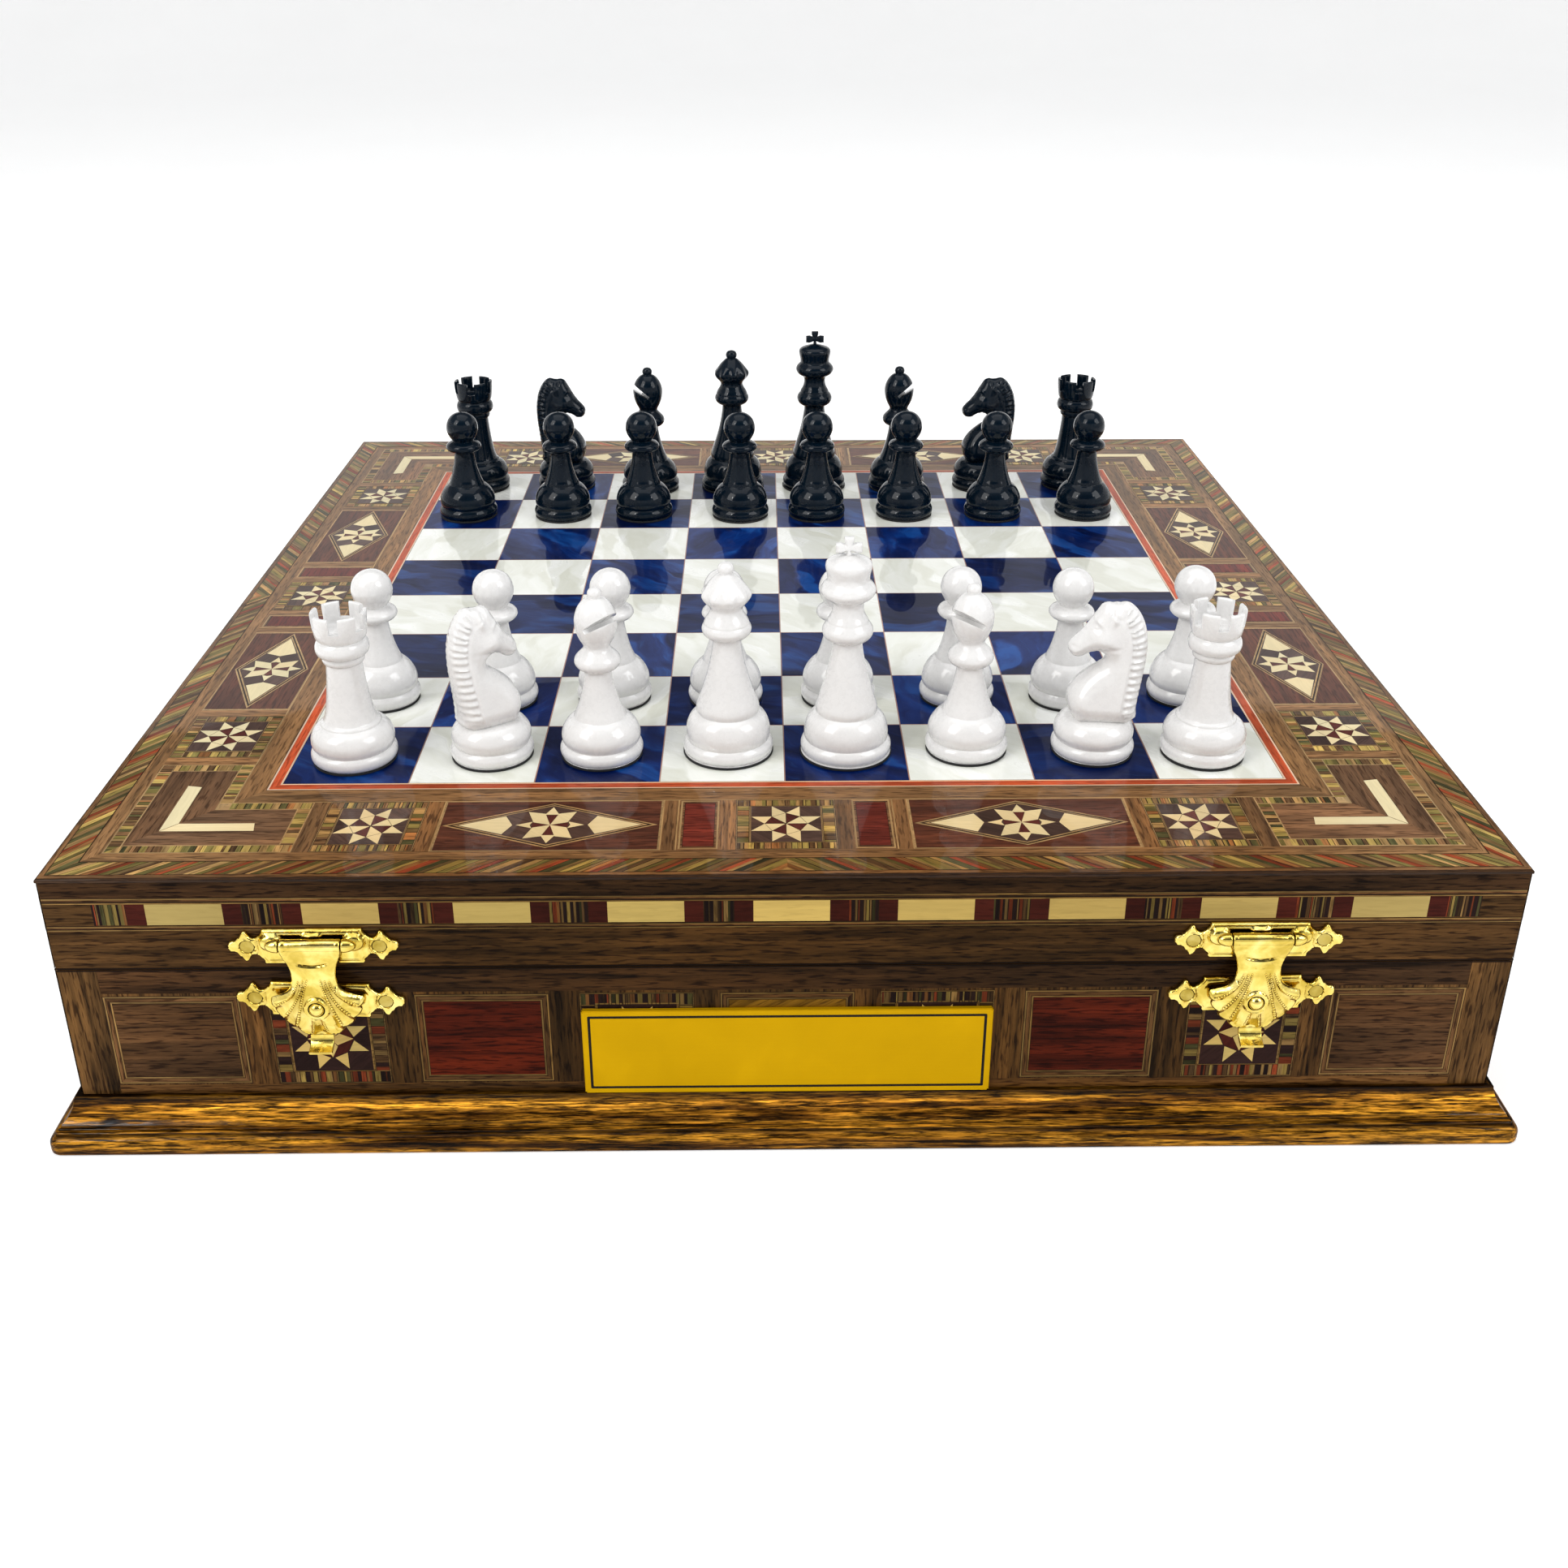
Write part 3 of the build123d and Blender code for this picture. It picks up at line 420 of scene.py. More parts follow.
# ---------------------------------------------------------------------------
# marquetry: lists of flat pieces (polygon, species, grain angle, layer)
# ---------------------------------------------------------------------------
# species: linear colour and figure strength
WOOD = {
    "walnut": ((0.215, 0.112, 0.048), 0.85),
    "walnut_lt": ((0.215, 0.112, 0.046), 0.80),
    "walnut_dk": ((0.165, 0.085, 0.042), 0.80),
    "edge": ((0.040, 0.019, 0.008), 0.85),
    "edge_top": ((0.175, 0.088, 0.036), 0.85),
    "front": ((0.084, 0.040, 0.0125), 1.0),
    "front_dk": ((0.060, 0.029, 0.0120), 1.0),
    "front_lt": ((0.115, 0.055, 0.021), 1.0),
    "front_line": ((0.215, 0.130, 0.045), 0.60),
    "purple": ((0.095, 0.032, 0.018), 0.70),
    "slate": ((0.068, 0.040, 0.033), 0.40),
    "maroon": ((0.090, 0.022, 0.018), 0.35),
    "maroon_dk": ((0.056, 0.010, 0.0065), 0.35),
    "ebony": ((0.030, 0.0135, 0.0125), 0.35),
    "bone": ((0.700, 0.590, 0.350), 0.08),
    "bone_front": ((0.640, 0.470, 0.165), 0.12),
    "string": ((0.360, 0.235, 0.110), 0.40),
    "line_dk": ((0.022, 0.011, 0.006), 0.40),
    "white_line": ((0.700, 0.500, 0.360), 0.12),
    "padauk": ((0.410, 0.070, 0.025), 0.55),
    "joint": ((0.350, 0.220, 0.190), 0.20),
    "red_small": ((0.140, 0.023, 0.014), 0.70),
    "red_panel": ((0.090, 0.0115, 0.004), 0.9),
    "gold_burl": ((0.330, 0.155, 0.014), 0.80),
    "green": ((0.090, 0.082, 0.030), 0.65),
    "olive": ((0.210, 0.165, 0.048), 0.60),
    "yellow": ((0.400, 0.280, 0.080), 0.55),
    "orange": ((0.290, 0.125, 0.042), 0.60),
    "red": ((0.300, 0.060, 0.022), 0.55),
    "tan": ((0.330, 0.200, 0.075), 0.65),
    "brown": ((0.130, 0.070, 0.030), 0.80),
}
MIXED_SIDE = ["tan", "brown", "ebony", "red", "yellow", "orange", "ebony", "tan", "red", "brown", "green", "ebony", "yellow"]
MIXED = ["tan", "olive", "yellow", "brown", "tan", "green", "tan", "olive", "tan", "brown", "yellow", "olive", "orange", "walnut"]


class Inlay:
    def __init__(self, seed):
        self.items = []
        self.mixture = MIXED
        self.r = random.Random(seed)

    def add(self, pts, sp, ang=0.0, layer=1, vary=0.12, dim=1.0):
        self.items.append(([(float(a), float(b)) for a, b in pts], sp, ang, layer,
                           dim * (1 + self.r.uniform(-vary, vary))))

    def rect(self, s0, s1, t0, t1, sp, ang=0.0, layer=1, vary=0.12, dim=1.0):
        self.add([(s0, t0), (s1, t0), (s1, t1), (s0, t1)], sp, ang, layer, vary, dim)

    def ring(self, s0, s1, t0, t1, w, sp, layer=2, vary=0.1):
        """Four mitred strips of width w just inside the rectangle; the grain follows each strip."""
        self.add([(s0, t0), (s1, t0), (s1 - w, t0 + w), (s0 + w, t0 + w)], sp, 0, layer, vary)
        self.add([(s1, t0), (s1, t1), (s1 - w, t1 - w), (s1 - w, t0 + w)], sp, 90, layer, vary)
        self.add([(s1, t1), (s0, t1), (s0 + w, t1 - w), (s1 - w, t1 - w)], sp, 0, layer, vary)
        self.add([(s0, t1), (s0, t0), (s0 + w, t0 + w), (s0 + w, t1 - w)], sp, 90, layer, vary)

    def stripes(self, s0, s1, t0, t1, lengthwise, pitch=1.15, layer=2, dim=1.0):
        """A run of short dyed blocks, cut across; lengthwise True runs along s."""
        a0, a1 = (s0, s1) if lengthwise else (t0, t1)
        a = a0
        last = None
        while a < a1 - 0.05:
            w = pitch * self.r.uniform(0.45, 1.55)
            b = min(a1, a + w)
            if a1 - b < 0.35:
                b = a1
            sp = self.r.choice(self.mixture)
            if sp == last:
                sp = self.r.choice(self.mixture)
            last = sp
            if lengthwise:
                self.rect(a, b, t0, t1, sp, 90, layer, 0.35, dim)
            else:
                self.rect(s0, s1, a, b, sp, 0, layer, 0.35, dim)
            if self.r.random() < 0.7:
                e = self.r.uniform(0.10, 0.24)
                if lengthwise:
                    self.rect(b - e, b, t0, t1, "line_dk", 90, layer + 1)
                else:
                    self.rect(s0, s1, b - e, b, "line_dk", 0, layer + 1)
            a = b

    def striped_frame(self, s0, s1, t0, t1, w, layer=2, dim=1.0, pitch=1.0, line="string"):
        self.rect(s0, s1, t0, t1, line, 0, layer - 1)
        e = 0.30
        self.stripes(s0 + e, s1 - e, t0 + e, t0 + w - e, True, pitch, layer, dim)
        self.stripes(s0 + e, s1 - e, t1 - w + e, t1 - e, True, pitch, layer, dim)
        self.stripes(s0 + e, s0 + w - e, t0 + w - e * 0.4, t1 - w + e * 0.4, False, pitch * 1.8, layer, dim)
        self.stripes(s1 - w + e, s1 - e, t0 + w - e * 0.4, t1 - w + e * 0.4, False, pitch * 1.8, layer, dim)
        # fine dark lines along both edges of the light strings
        for d in (0.0, e - 0.06, w - e, w - 0.08):
            self.ring(s0 + d, s1 - d, t0 + d, t1 - d, 0.09, "line_dk", layer + 1)

    def wheel(self, pts, cs, ct, k):
        out = []
        for x, y in pts:
            for _ in range(k):
                x, y = y, -x
            out.append((cs + x, ct + y))
        return out

    def pinwheel_star(self, cs, ct, half, layer=3, flip=False):
        """Eight-pointed star of four long rhombs and four half rhombs on a dark square."""
        a, n = 0.40 * half, 0.607 * half
        self.rect(cs - half, cs + half, ct - half, ct + half, "slate", 0, layer)
        f = -1 if flip else 1
        for k in range(4):
            for sx in (-1, 1):
                q = [(sx * a, a), (sx * half, a), (sx * half, half), (sx * a, half)]
                if sx == 1:
                    self.add(self.wheel(q, cs, ct, k), "slate", 45 * (k % 2), layer + 1, 0.3)
            self.add(self.wheel([(f * -a, half), (f * a, half), (0, n)], cs, ct, k), "slate", 0, layer + 1, 0.35)
            self.add(self.wheel([(0, 0), (f * 0, n), (f * a, half), (f * a, a)], cs, ct, k), "bone", 30, layer + 2, 0.08)
            self.add(self.wheel([(f * -a, half * 0.985), (f * -a, a), (0, n)], cs, ct, k), "bone", 10, layer + 2, 0.08)
            self.add(self.wheel([(0, 0), (f * -a, a), (0, n)], cs, ct, k), "maroon", 60, layer + 2, 0.2)
            # thin dark glue lines between the pieces
            for p, q in (((0, 0), (0, n)), ((f * a, a), (0, 0)), ((f * -a, a), (0, n)), ((f * a, a), (0, n))):
                self.hair(self.wheel([p], cs, ct, k)[0], self.wheel([q], cs, ct, k)[0], 0.09, "line_dk", layer + 3)

    def hair(self, p, q, w, sp, layer):
        dx, dy = q[0] - p[0], q[1] - p[1]
        L = math.hypot(dx, dy)
        nx, ny = -dy / L * w / 2, dx / L * w / 2
        self.add([(p[0] + nx, p[1] + ny), (p[0] - nx, p[1] - ny), (q[0] - nx, q[1] - ny), (q[0] + nx, q[1] + ny)],
                 sp, math.degrees(math.atan2(dy, dx)), layer, 0.0)

    def ring_star(self, cs, ct, half, layer=3, bone="bone_front", red="maroon_dk"):
        """Star with eight bone points round a small four-pointed bone star."""
        a, n = 0.405 * half, 0.585 * half
        self.rect(cs - half, cs + half, ct - half, ct + half, "ebony", 0, layer)
        for k in range(4):
            self.add(self.wheel([(a, a), (half, a), (half, half), (a, half)], cs, ct, k), "ebony", 45, layer + 1, 0.5)
            self.add(self.wheel([(-a, half), (a, half), (0, n)], cs, ct, k), "ebony", 0, layer + 1, 0.4)
            for f in (-1, 1):
                tri = [(f * a, half * 0.985), (f * a, a), (f * 0.05 * a, n)]
                gx, gy = sum(p[0] for p in tri) / 3, sum(p[1] for p in tri) / 3
                tri = [(gx + 0.86 * (x - gx), gy + 0.86 * (y - gy)) for x, y in tri]      # dark seams between the points
                self.add(self.wheel(tri, cs, ct, k), bone, 10, layer + 2, 0.08)
            self.add(self.wheel([(0, 0), (a, a), (0, n)], cs, ct, k), red, 60, layer + 2, 0.25)
            self.add(self.wheel([(0, 0), (-a, a), (0, n)], cs, ct, k), red, 60, layer + 2, 0.25)
            self.add(self.wheel([(0, 0), (-0.16 * half, 0.24 * half), (0, n * 0.99), (0.20 * half, 0.16 * half)],
                                cs, ct, k), bone, 20, layer + 3, 0.08)

    def line_rect(self, s0, s1, t0, t1, layer=2, w=0.3):
        """Two light lines with walnut between, each edged by a dark line."""
        self.ring(s0, s1, t0, t1, 0.15, "line_dk", layer)
        self.ring(s0 + 0.15, s1 - 0.15, t0 + 0.15, t1 - 0.15, w, "front_line", layer)
        self.ring(s0 + 0.45, s1 - 0.45, t0 + 0.45, t1 - 0.45, 0.12, "line_dk", layer)
        self.ring(s0 + 0.57, s1 - 0.57, t0 + 0.57, t1 - 0.57, 0.75, "front_lt", layer)
        self.ring(s0 + 1.3, s1 - 1.3, t0 + 1.3, t1 - 1.3, 0.12, "line_dk", layer + 1)
        self.ring(s0 + 1.42, s1 - 1.42, t0 + 1.42, t1 - 1.42, w, "front_line", layer + 1)
        self.ring(s0 + 1.72, s1 - 1.72, t0 + 1.72, t1 - 1.72, 0.12, "line_dk", layer + 1)

    def diamond(self, cs, c, hw, t0, t1):
        ct = (t0 + t1) / 2
        s0, s1 = cs - hw, cs + hw
        self.rect(s0, s1, t0, t1, "string", 0, 1)
        e = 0.35
        self.rect(s0 + e, s1 - e, t0 + e, t1 - e, "purple", 0, 2, 0.05)
        a, b = 21.7, 8.9
        self.add([(cs - a, ct), (cs, ct - b), (cs + a, ct), (cs, ct + b)], "string", 0, 3)
        a2, b2 = a - 1.0, b - 0.40
        self.add([(cs - a2, ct), (cs, ct - b2), (cs + a2, ct), (cs, ct + b2)], "line_dk", 0, 4)
        a3, b3 = a - 2.0, b - 0.80
        self.add([(cs - a3, ct), (cs, ct - b3), (cs + a3, ct), (cs, ct + b3)], "string", 0, 5)
        a4, b4 = a - 2.9, b - 1.15
        self.add([(cs - a4, ct), (cs, ct - b4), (cs + a4, ct), (cs, ct + b4)], "slate", 0, 6)
        for f in (-1, 1):
            self.add([(cs + f * 18.4, ct), (cs + f * 9.3, ct + 3.6), (cs + f * 7.6, ct), (cs + f * 9.3, ct - 3.6)],
                     "bone", 0, 7, 0.04)
            # dark pentagons beside the star
            for g in (-1, 1):
                self.add([(cs + f * 3.4, ct + g * 1.1), (cs + f * 7.4, ct + g * 0.3), (cs + f * 9.0, ct + g * 3.6),
                          (cs + f * 5.1, ct + g * 5.3)], "slate", 30, 7, 0.45)
                self.add([(cs, ct), (cs + f * 3.4, ct + g * 0.9), (cs + f * 4.9, ct + g * 5.3),
                          (cs + f * 1.3, ct + g * 4.5)], "bone", 45, 8, 0.06)
            self.add([(cs + f * 6.9, ct), (cs + f * 3.6, ct + 1.3), (cs + f * 4.1, ct), (cs + f * 3.6, ct - 1.3)],
                     "bone", 0, 8, 0.06)
            self.add([(cs, ct), (cs + f * 3.6, ct + 1.1), (cs + f * 3.6, ct - 1.1)], "maroon", 0, 8)
            self.add([(cs, ct + f * 7.2), (cs - 1.45, ct + f * 4.1), (cs + 1.45, ct + f * 4.1)], "bone", 0, 9, 0.06)
            self.add([(cs, ct), (cs - 1.25, ct + f * 4.1), (cs + 1.25, ct + f * 4.1)], "maroon", 90, 8)


def clip_mitre(poly, limit=None):
    """Clip a polygon in (s, t) to |s| <= t, the mitre at both ends."""
    def clip(pts, f):
        out = []
        for i in range(len(pts)):
            p, q = pts[i], pts[(i + 1) % len(pts)]
            fp, fq = f(p), f(q)
            if fp >= 0:
                out.append(p)
            if (fp >= 0) != (fq >= 0):
                u = fp / (fp - fq)
                out.append((p[0] + u * (q[0] - p[0]), p[1] + u * (q[1] - p[1])))
        return out
    poly = clip(poly, lambda p: p[1] - p[0])
    if len(poly) >= 3:
        poly = clip(poly, lambda p: p[1] + p[0])
    return poly


STEP = 0.012     # rise of each inlay layer over the one below, millimetres


def build_inlay(name, inlays, place, body, replaced, base=None, finish="top"):
    """Mesh of all pieces. place(k, s, t, h) gives the 3-D point in mm of side k; base adds closed backing solids."""
    verts, faces, tint, uvs = [], [], [], []
    rr = random.Random(hash_name(name))
    for side, inlay in inlays:
        for pts, sp, ang, layer, vary in inlay.items:
            pts = clip_mitre(pts) if getattr(inlay, "mitre", False) else pts
            if len(pts) < 3:
                continue
            area = sum(pts[i][0] * pts[(i + 1) % len(pts)][1] - pts[(i + 1) % len(pts)][0] * pts[i][1]
                       for i in range(len(pts)))
            if abs(area) < 1e-4:
                continue
            if area < 0:
                pts = pts[::-1]
            n0 = len(verts)
            for s, t in pts:
                verts.append(Vector(place(side, s, t, layer * STEP)) * MM)
            order = list(range(n0, n0 + len(pts)))
            faces.append(order)
            c, f = WOOD[sp]
            g = rr.uniform(-0.04, 0.04)
            tint.append((min(1, c[0] * vary * (1 + g)), min(1, c[1] * vary), min(1, c[2] * vary * (1 - g)), f))
            a = math.radians(ang)
            ou, ov = rr.uniform(-5, 5), rr.uniform(-5, 5)
            uvs.append([((s * math.cos(a) + t * math.sin(a)) * MM + ou, (-s * math.sin(a) + t * math.cos(a)) * MM + ov)
                        for s, t in pts])
    for bv, bf, sp in (base or []):
        n0 = len(verts)
        verts += [Vector(v) * MM for v in bv]
        for fc, uaxis in bf:
            faces.append([n0 + i for i in fc])
            c, f = WOOD[sp]
            tint.append((*c, f))
            q = [Vector(bv[i]) for i in fc]
            u = Vector(uaxis)
            nrm = (q[1] - q[0]).cross(q[2] - q[0]).normalized()
            w = nrm.cross(u)
            uvs.append([(p.dot(u) * MM, p.dot(w) * MM + 1.7) for p in q])
    me = bpy.data.meshes.new(name)
    me.from_pydata([tuple(v) for v in verts], [], faces)
    me.materials.append(INLAY[finish])
    me.uv_layers.new(name="grain")
    me.color_attributes.new(name="tint", type="FLOAT_COLOR", domain="CORNER")
    uvd, cd = [], []
    for f, t, u in zip(faces, tint, uvs):
        for i in range(len(f)):
            uvd += [u[i][0], u[i][1]]
            cd += list(t)
    me.uv_layers["grain"].data.foreach_set("uv", uvd)
    me.color_attributes["tint"].data.foreach_set("color", cd)
    me.update()
    ob = bpy.data.objects.new(name, me)
    bpy.context.scene.collection.objects.link(ob)
    if replaced:
        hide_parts(*replaced)
    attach(ob, body)
    return ob


def hash_name(s):
    h = 7
    for ch in s:
        h = (h * 131 + ord(ch)) % 1000003
    return h


def rope(inl, t0, t1, half, seed):
    """Twisted-rope band: slanted dyed slivers that mirror at the middle of the side."""
    r = random.Random(seed)
    inl.rect(-half, half, t0, t1, "tan", 0, 1)
    width = t1 - t0
    lean = width * 1.3
    groups = [["tan", "olive", "yellow", "tan", "green"], ["olive", "tan", "brown", "tan", "olive"],
              ["yellow", "olive", "tan", "green", "tan"]]
    for side in (-1, 1):
        s = -lean
        g = 0
        while s < half:
            seq = ["red", "orange"] if g % 2 == 0 else groups[r.randrange(3)]
            g += 1
            for sp in seq:
                w = r.uniform(1.1, 2.3) if sp not in ("red", "orange") else r.uniform(1.4, 2.2)
                p = [(side * max(0.0, s), t0 if s >= 0 else t0 + (-s) / lean * width),
                     (side * max(0.0, s + w), t0 if s + w >= 0 else t0 + (-s - w) / lean * width),
                     (side * (s + w + lean), t1), (side * (s + lean), t1)]
                ang = math.degrees(math.atan2(width, side * lean))
                if s + lean > 0:
                    inl.add(p, sp, ang, 2, 0.45, 0.78)
                    if r.random() < 0.75:
                        e = r.uniform(0.16, 0.3)
                        q = [(side * max(0.0, s + w - e), p[1][1]), p[1], p[2], (side * (s + w - e + lean), t1)]
                        inl.add(q, r.choice(["line_dk", "green", "brown"]), ang, 3)
                s += w


def top_side(k):
    b = Inlay(100 + k)
    b.mitre = True
    H = 150
    b.rect(-H, H, 114.0 - 0.0, 134.0, "walnut", 0, 0)
    b.rect(-H, H, 134.0, 137.2, "walnut_lt", 0, 0)
    rope(b, 137.2, 142.0, 143.5, 40 + k)
    b.rect(-H, H, 142.0, 143.05, "edge_top", 0, 2)
    b.rect(-H, H, 143.05, 143.16, "edge", 0, 2)
    b.rect(-H, H, 137.1, 137.3, "line_dk", 0, 4)
    b.rect(-H, H, 141.9, 142.05, "line_dk", 0, 4)
    t0, t1 = 114.0, 134.0
    # light line along the inner edge of the panels
    b.rect(-97.2, 97.2, 113.85, 114.1, "string", 0, 3)
    # centre star block
    b.striped_frame(-10.15, 10.15, t0, t1, 2.9)
    b.ring(-7.35, 7.35, 116.75, 131.25, 0.25, "string", 3)
    b.pinwheel_star(0, 124, 7.1, 4, flip=bool(k % 2))
    for f in (-1, 1):
        # small stile, red panel, stile
        b.rect(f * 10.15, f * 13.5, t0, t1, "walnut", 90, 1, 0.2)
        x0, x1 = sorted((f * 13.5, f * 21.6))
        b.rect(x0, x1, t0, t1, "walnut_dk", 0, 1)
        b.ring(x0 + 0.1, x1 - 0.1, t0 + 0.3, t1 - 0.3, 0.4, "string", 2)
        b.ring(x0 + 0.9, x1 - 0.9, t0 + 1.1, t1 - 1.1, 0.2, "line_dk", 2)
        b.rect(x0 + 1.0, x1 - 1.0, t0 + 1.4, t1 - 1.4, "red_small", 0, 3)
        b.rect(f * 21.6, f * 25.2, t0, t1, "walnut", 90, 1, 0.2)
        b.rect(f * 21.8, f * 22.1, t0, t1, "string", 90, 2)
        b.rect(f * 24.9, f * 25.2, t0, t1, "string", 90, 2)
        b.diamond(f * 47.6, 124, 22.4, t0, t1)
        b.rect(f * 70.0, f * 73.5, t0, t1, "walnut", 90, 1, 0.2)
        b.rect(f * 70.0, f * 70.3, t0, t1, "string", 90, 2)
        x0, x1 = sorted((f * 73.5, f * 93.8))
        b.striped_frame(x0, x1, t0, t1, 2.9)
        b.ring(x0 + 2.8, x1 - 2.8, 116.75, 131.25, 0.25, "string", 3)
        b.pinwheel_star(f * 83.65, 124, 7.1, 4, flip=(f > 0))
        b.rect(f * 93.8, f * 97.2, t0, t1, "walnut", 90, 1, 0.2)
        # corner block: half of the L on this side of the mitre
        x0 = f * 97.2
        b.add([(x0, t0), (f * 114, t0), (f * 134, t1), (x0, t1)], "string", 0, 1)
        e = 0.28
        w = 3.0
        b.stripes(*sorted((x0 + f * e, f * (t1 - 0.4))), t1 - w + e, t1 - e, True, 1.2, 2)
        b.stripes(*sorted((x0 + f * e, f * (114 + 0.2))), t0 + e, t0 + w - e, True, 1.2, 2)
        b.stripes(*sorted((x0 + f * e, x0 + f * (w - e))), t0 + w - 0.1, t1 - w + 0.1, False, 1.5, 2)
        b.add([(x0 + f * w, t0 + w), (f * (t0 + w), t0 + w), (f * (t1 - w), t1 - w), (x0 + f * w, t1 - w)],
              "walnut_dk", 0, 3, 0.25)
        # bone chevron leg
        o, i = 125.6, 122.6
        b.add([(f * 107.3, i), (f * i, i), (f * o, o), (f * 106.7, o)], "bone", 0, 5, 0.04)
        b.hair((f * i, i), (f * (o + 0.1), o + 0.1), 0.14, "brown", 6)
    return b


def frame_line(k):
    b = Inlay(300 + k)
    b.mitre = True
    b.rect(-150, 150, 106.0, 106.4, "white_line", 0, 1)
    b.rect(-150, 150, 106.4, 108.3, "padauk", 0, 1)
    b.rect(-150, 150, 108.3, 108.7, "white_line", 0, 1)
    b.rect(-150, 150, 108.7, 114.0, "walnut_lt", 0, 1)
    b.rect(-150, 150, 108.68, 108.8, "line_dk", 0, 2)
    b.rect(-150, 150, 105.9, 106.0, "line_dk", 0, 2)
    return b


def top_place(k, s, t, h):
    p = Vector((s, -t, TOP + h - 0.02))
    for _ in range(k):
        p = Vector((-p.y, p.x, p.z))
    return p


def face_place(k, s, z, h):
    """Front (k=0) and the other side faces; s runs to the right as seen from outside."""
    p = Vector((s, -(CASE + h - 0.02), z))
    for _ in range(k):
        p = Vector((-p.y, p.x, p.z))
    return p


def lid_side(k):
    b = Inlay(500 + k)
    b.mixture = MIXED_SIDE
    H = CASE - 0.6
    b.rect(-H, H, 41.1, TOP - 0.75, "front_dk", 0, 0)
    b.rect(-H, H, 57.2, TOP - 0.75, "front_dk", 0, 1, 0.1, 0.60)
    for za, zb, sp in ((57.3, 57.5, "line_dk"), (57.0, 57.3, "front_line"), (56.65, 57.0, "front_lt"),
                       (56.3, 56.65, "line_dk"), (56.05, 56.3, "front_line"), (51.0, 51.2, "line_dk"),
                       (50.75, 51.0, "front_line"), (50.45, 50.75, "front_lt"), (50.25, 50.45, "line_dk"),
                       (50.0, 50.2, "front_line")):
        b.rect(-H, H, za, zb, sp, 0, 4)
    b.rect(-H, H, 41.1, 50.4, "front", 0, 1, 0.3, 0.90)
    # painted shade: a dark strip along the lid's lower edge, beside the gap to the case
    b.rect(-H, H, 41.1, 41.45, "line_dk", 0, 5, 0.0, 0.45)
    z0, z1 = 51.3, 56.0
    b.rect(-H, H, z0 - 0.2, z1 + 0.3, "front", 0, 1)
    shift = (0.9, 1.6, 1.5, 1.9, 0.8, -0.5, -0.5, -0.3, -0.1) if k == 0 else (0.3, -0.4, 0.5, 0.2, -0.3, 0.4, -0.5, 0.1, 0.2)
    for i in range(-4, 5):
        c = i * 29.25 + shift[i + 4]
        b.rect(c - 7.4, c + 7.4, z0, z1, "bone_front", 0, 3, 0.05, 1.28 - 0.145 * abs(i))
        for f in (-1, 1):
            a0, a1 = sorted((c + f * 7.4, c + f * 11.1))
            b.rect(a0, a1, z0, z1, "maroon_dk", 0, 3, 0.25)
            if abs(i) == 4 and f * i > 0:
                a0, a1 = sorted((c + f * 11.1, c + f * 17.6))
                b.stripes(a0, a1, z0, z1, True, 0.55, 3, 0.5)
                a0, a1 = sorted((c + f * 17.6, f * H))
                b.rect(a0, a1, z0 - 0.1, z1 + 0.2, "front", 0, 3, 0.2)
            elif f > 0:
                b.stripes(c + 11.1, (i + 1) * 29.25 + shift[i + 5] - 11.1, z0, z1, True, 0.55, 3, 0.5)
    return b


def case_side(k):
    b = Inlay(700 + k)
    b.mixture = MIXED_SIDE
    H = CASE - 0.6
    z0, z1 = 13.0, 35.3
    b.rect(-H, H, PLINTH_H, SPLIT_LOW, "front_dk", 0, 0)
    b.rect(-H, H, z1, SPLIT_LOW, "front_dk", 0, 1, 0.2)
    # painted shade: a dark strip along the case's upper edge, beside the gap to the lid
    b.rect(-H, H, SPLIT_LOW - 0.3, SPLIT_LOW, "line_dk", 0, 7, 0.0, 0.45)
    b.rect(-H, H, PLINTH_H, z0, "front", 0, 1, 0.2)
    b.rect(-H, H, z0, z1, "front", 90, 1, 0.1)
    # gold burl centre panel
    b.line_rect(-13.4, 13.4, z0 + 0.2, z1 - 0.6)
    b.rect(-11.6, 11.6, z0 + 2.0, z1 - 2.4, "gold_burl", 30, 3)
    for f in (-1, 1):
        x0, x1 = sorted((f * 13.4, f * 19.4))
        b.rect(x0, x1, z0, z1, "front", 90, 2, 0.3)
        for c in (29.85, 91.4):
            m = 11.35
            b.striped_frame(f * c - m, f * c + m, z0 + 0.1, z1 - 0.5, 3.2, 4, 0.56, 0.75, "front_line")
            b.rect(f * c - 8.3, f * c + 8.3, 16.0, 32.3, "front_line", 0, 5)
            b.ring_star(f * c, 24.15, 7.85, 6)
        x0, x1 = sorted((f * 41.2, f * 47.2))
        b.rect(x0, x1, z0, z1, "front", 90, 2, 0.3)
        x0, x1 = sorted((f * 47.2, f * 73.9))
        b.line_rect(x0, x1, z0 + 0.2, z1 - 0.6)
        b.rect(x0 + 1.8, x1 - 1.8, z0 + 2.0, z1 - 2.4, "red_panel", 0, 4, 0.05)
        x0, x1 = sorted((f * 73.9, f * 80.05))
        b.rect(x0, x1, z0, z1, "front", 90, 2, 0.3)
        x0, x1 = sorted((f * 102.75, f * 108.3))
        b.rect(x0, x1, z0, z1, "front", 90, 2, 0.3)
        x0, x1 = sorted((f * 108.3, f * 135.2))
        b.line_rect(x0, x1, z0 + 0.2, z1 - 0.6)
        b.rect(x0 + 1.8, x1 - 1.8, z0 + 2.0, z1 - 2.4, "front_dk", 0, 4, 0.1)
        x0, x1 = sorted((f * 135.2, f * H))
        b.rect(x0, x1, PLINTH_H, SPLIT_LOW, "front", 90, 2, 0.3)
    return b


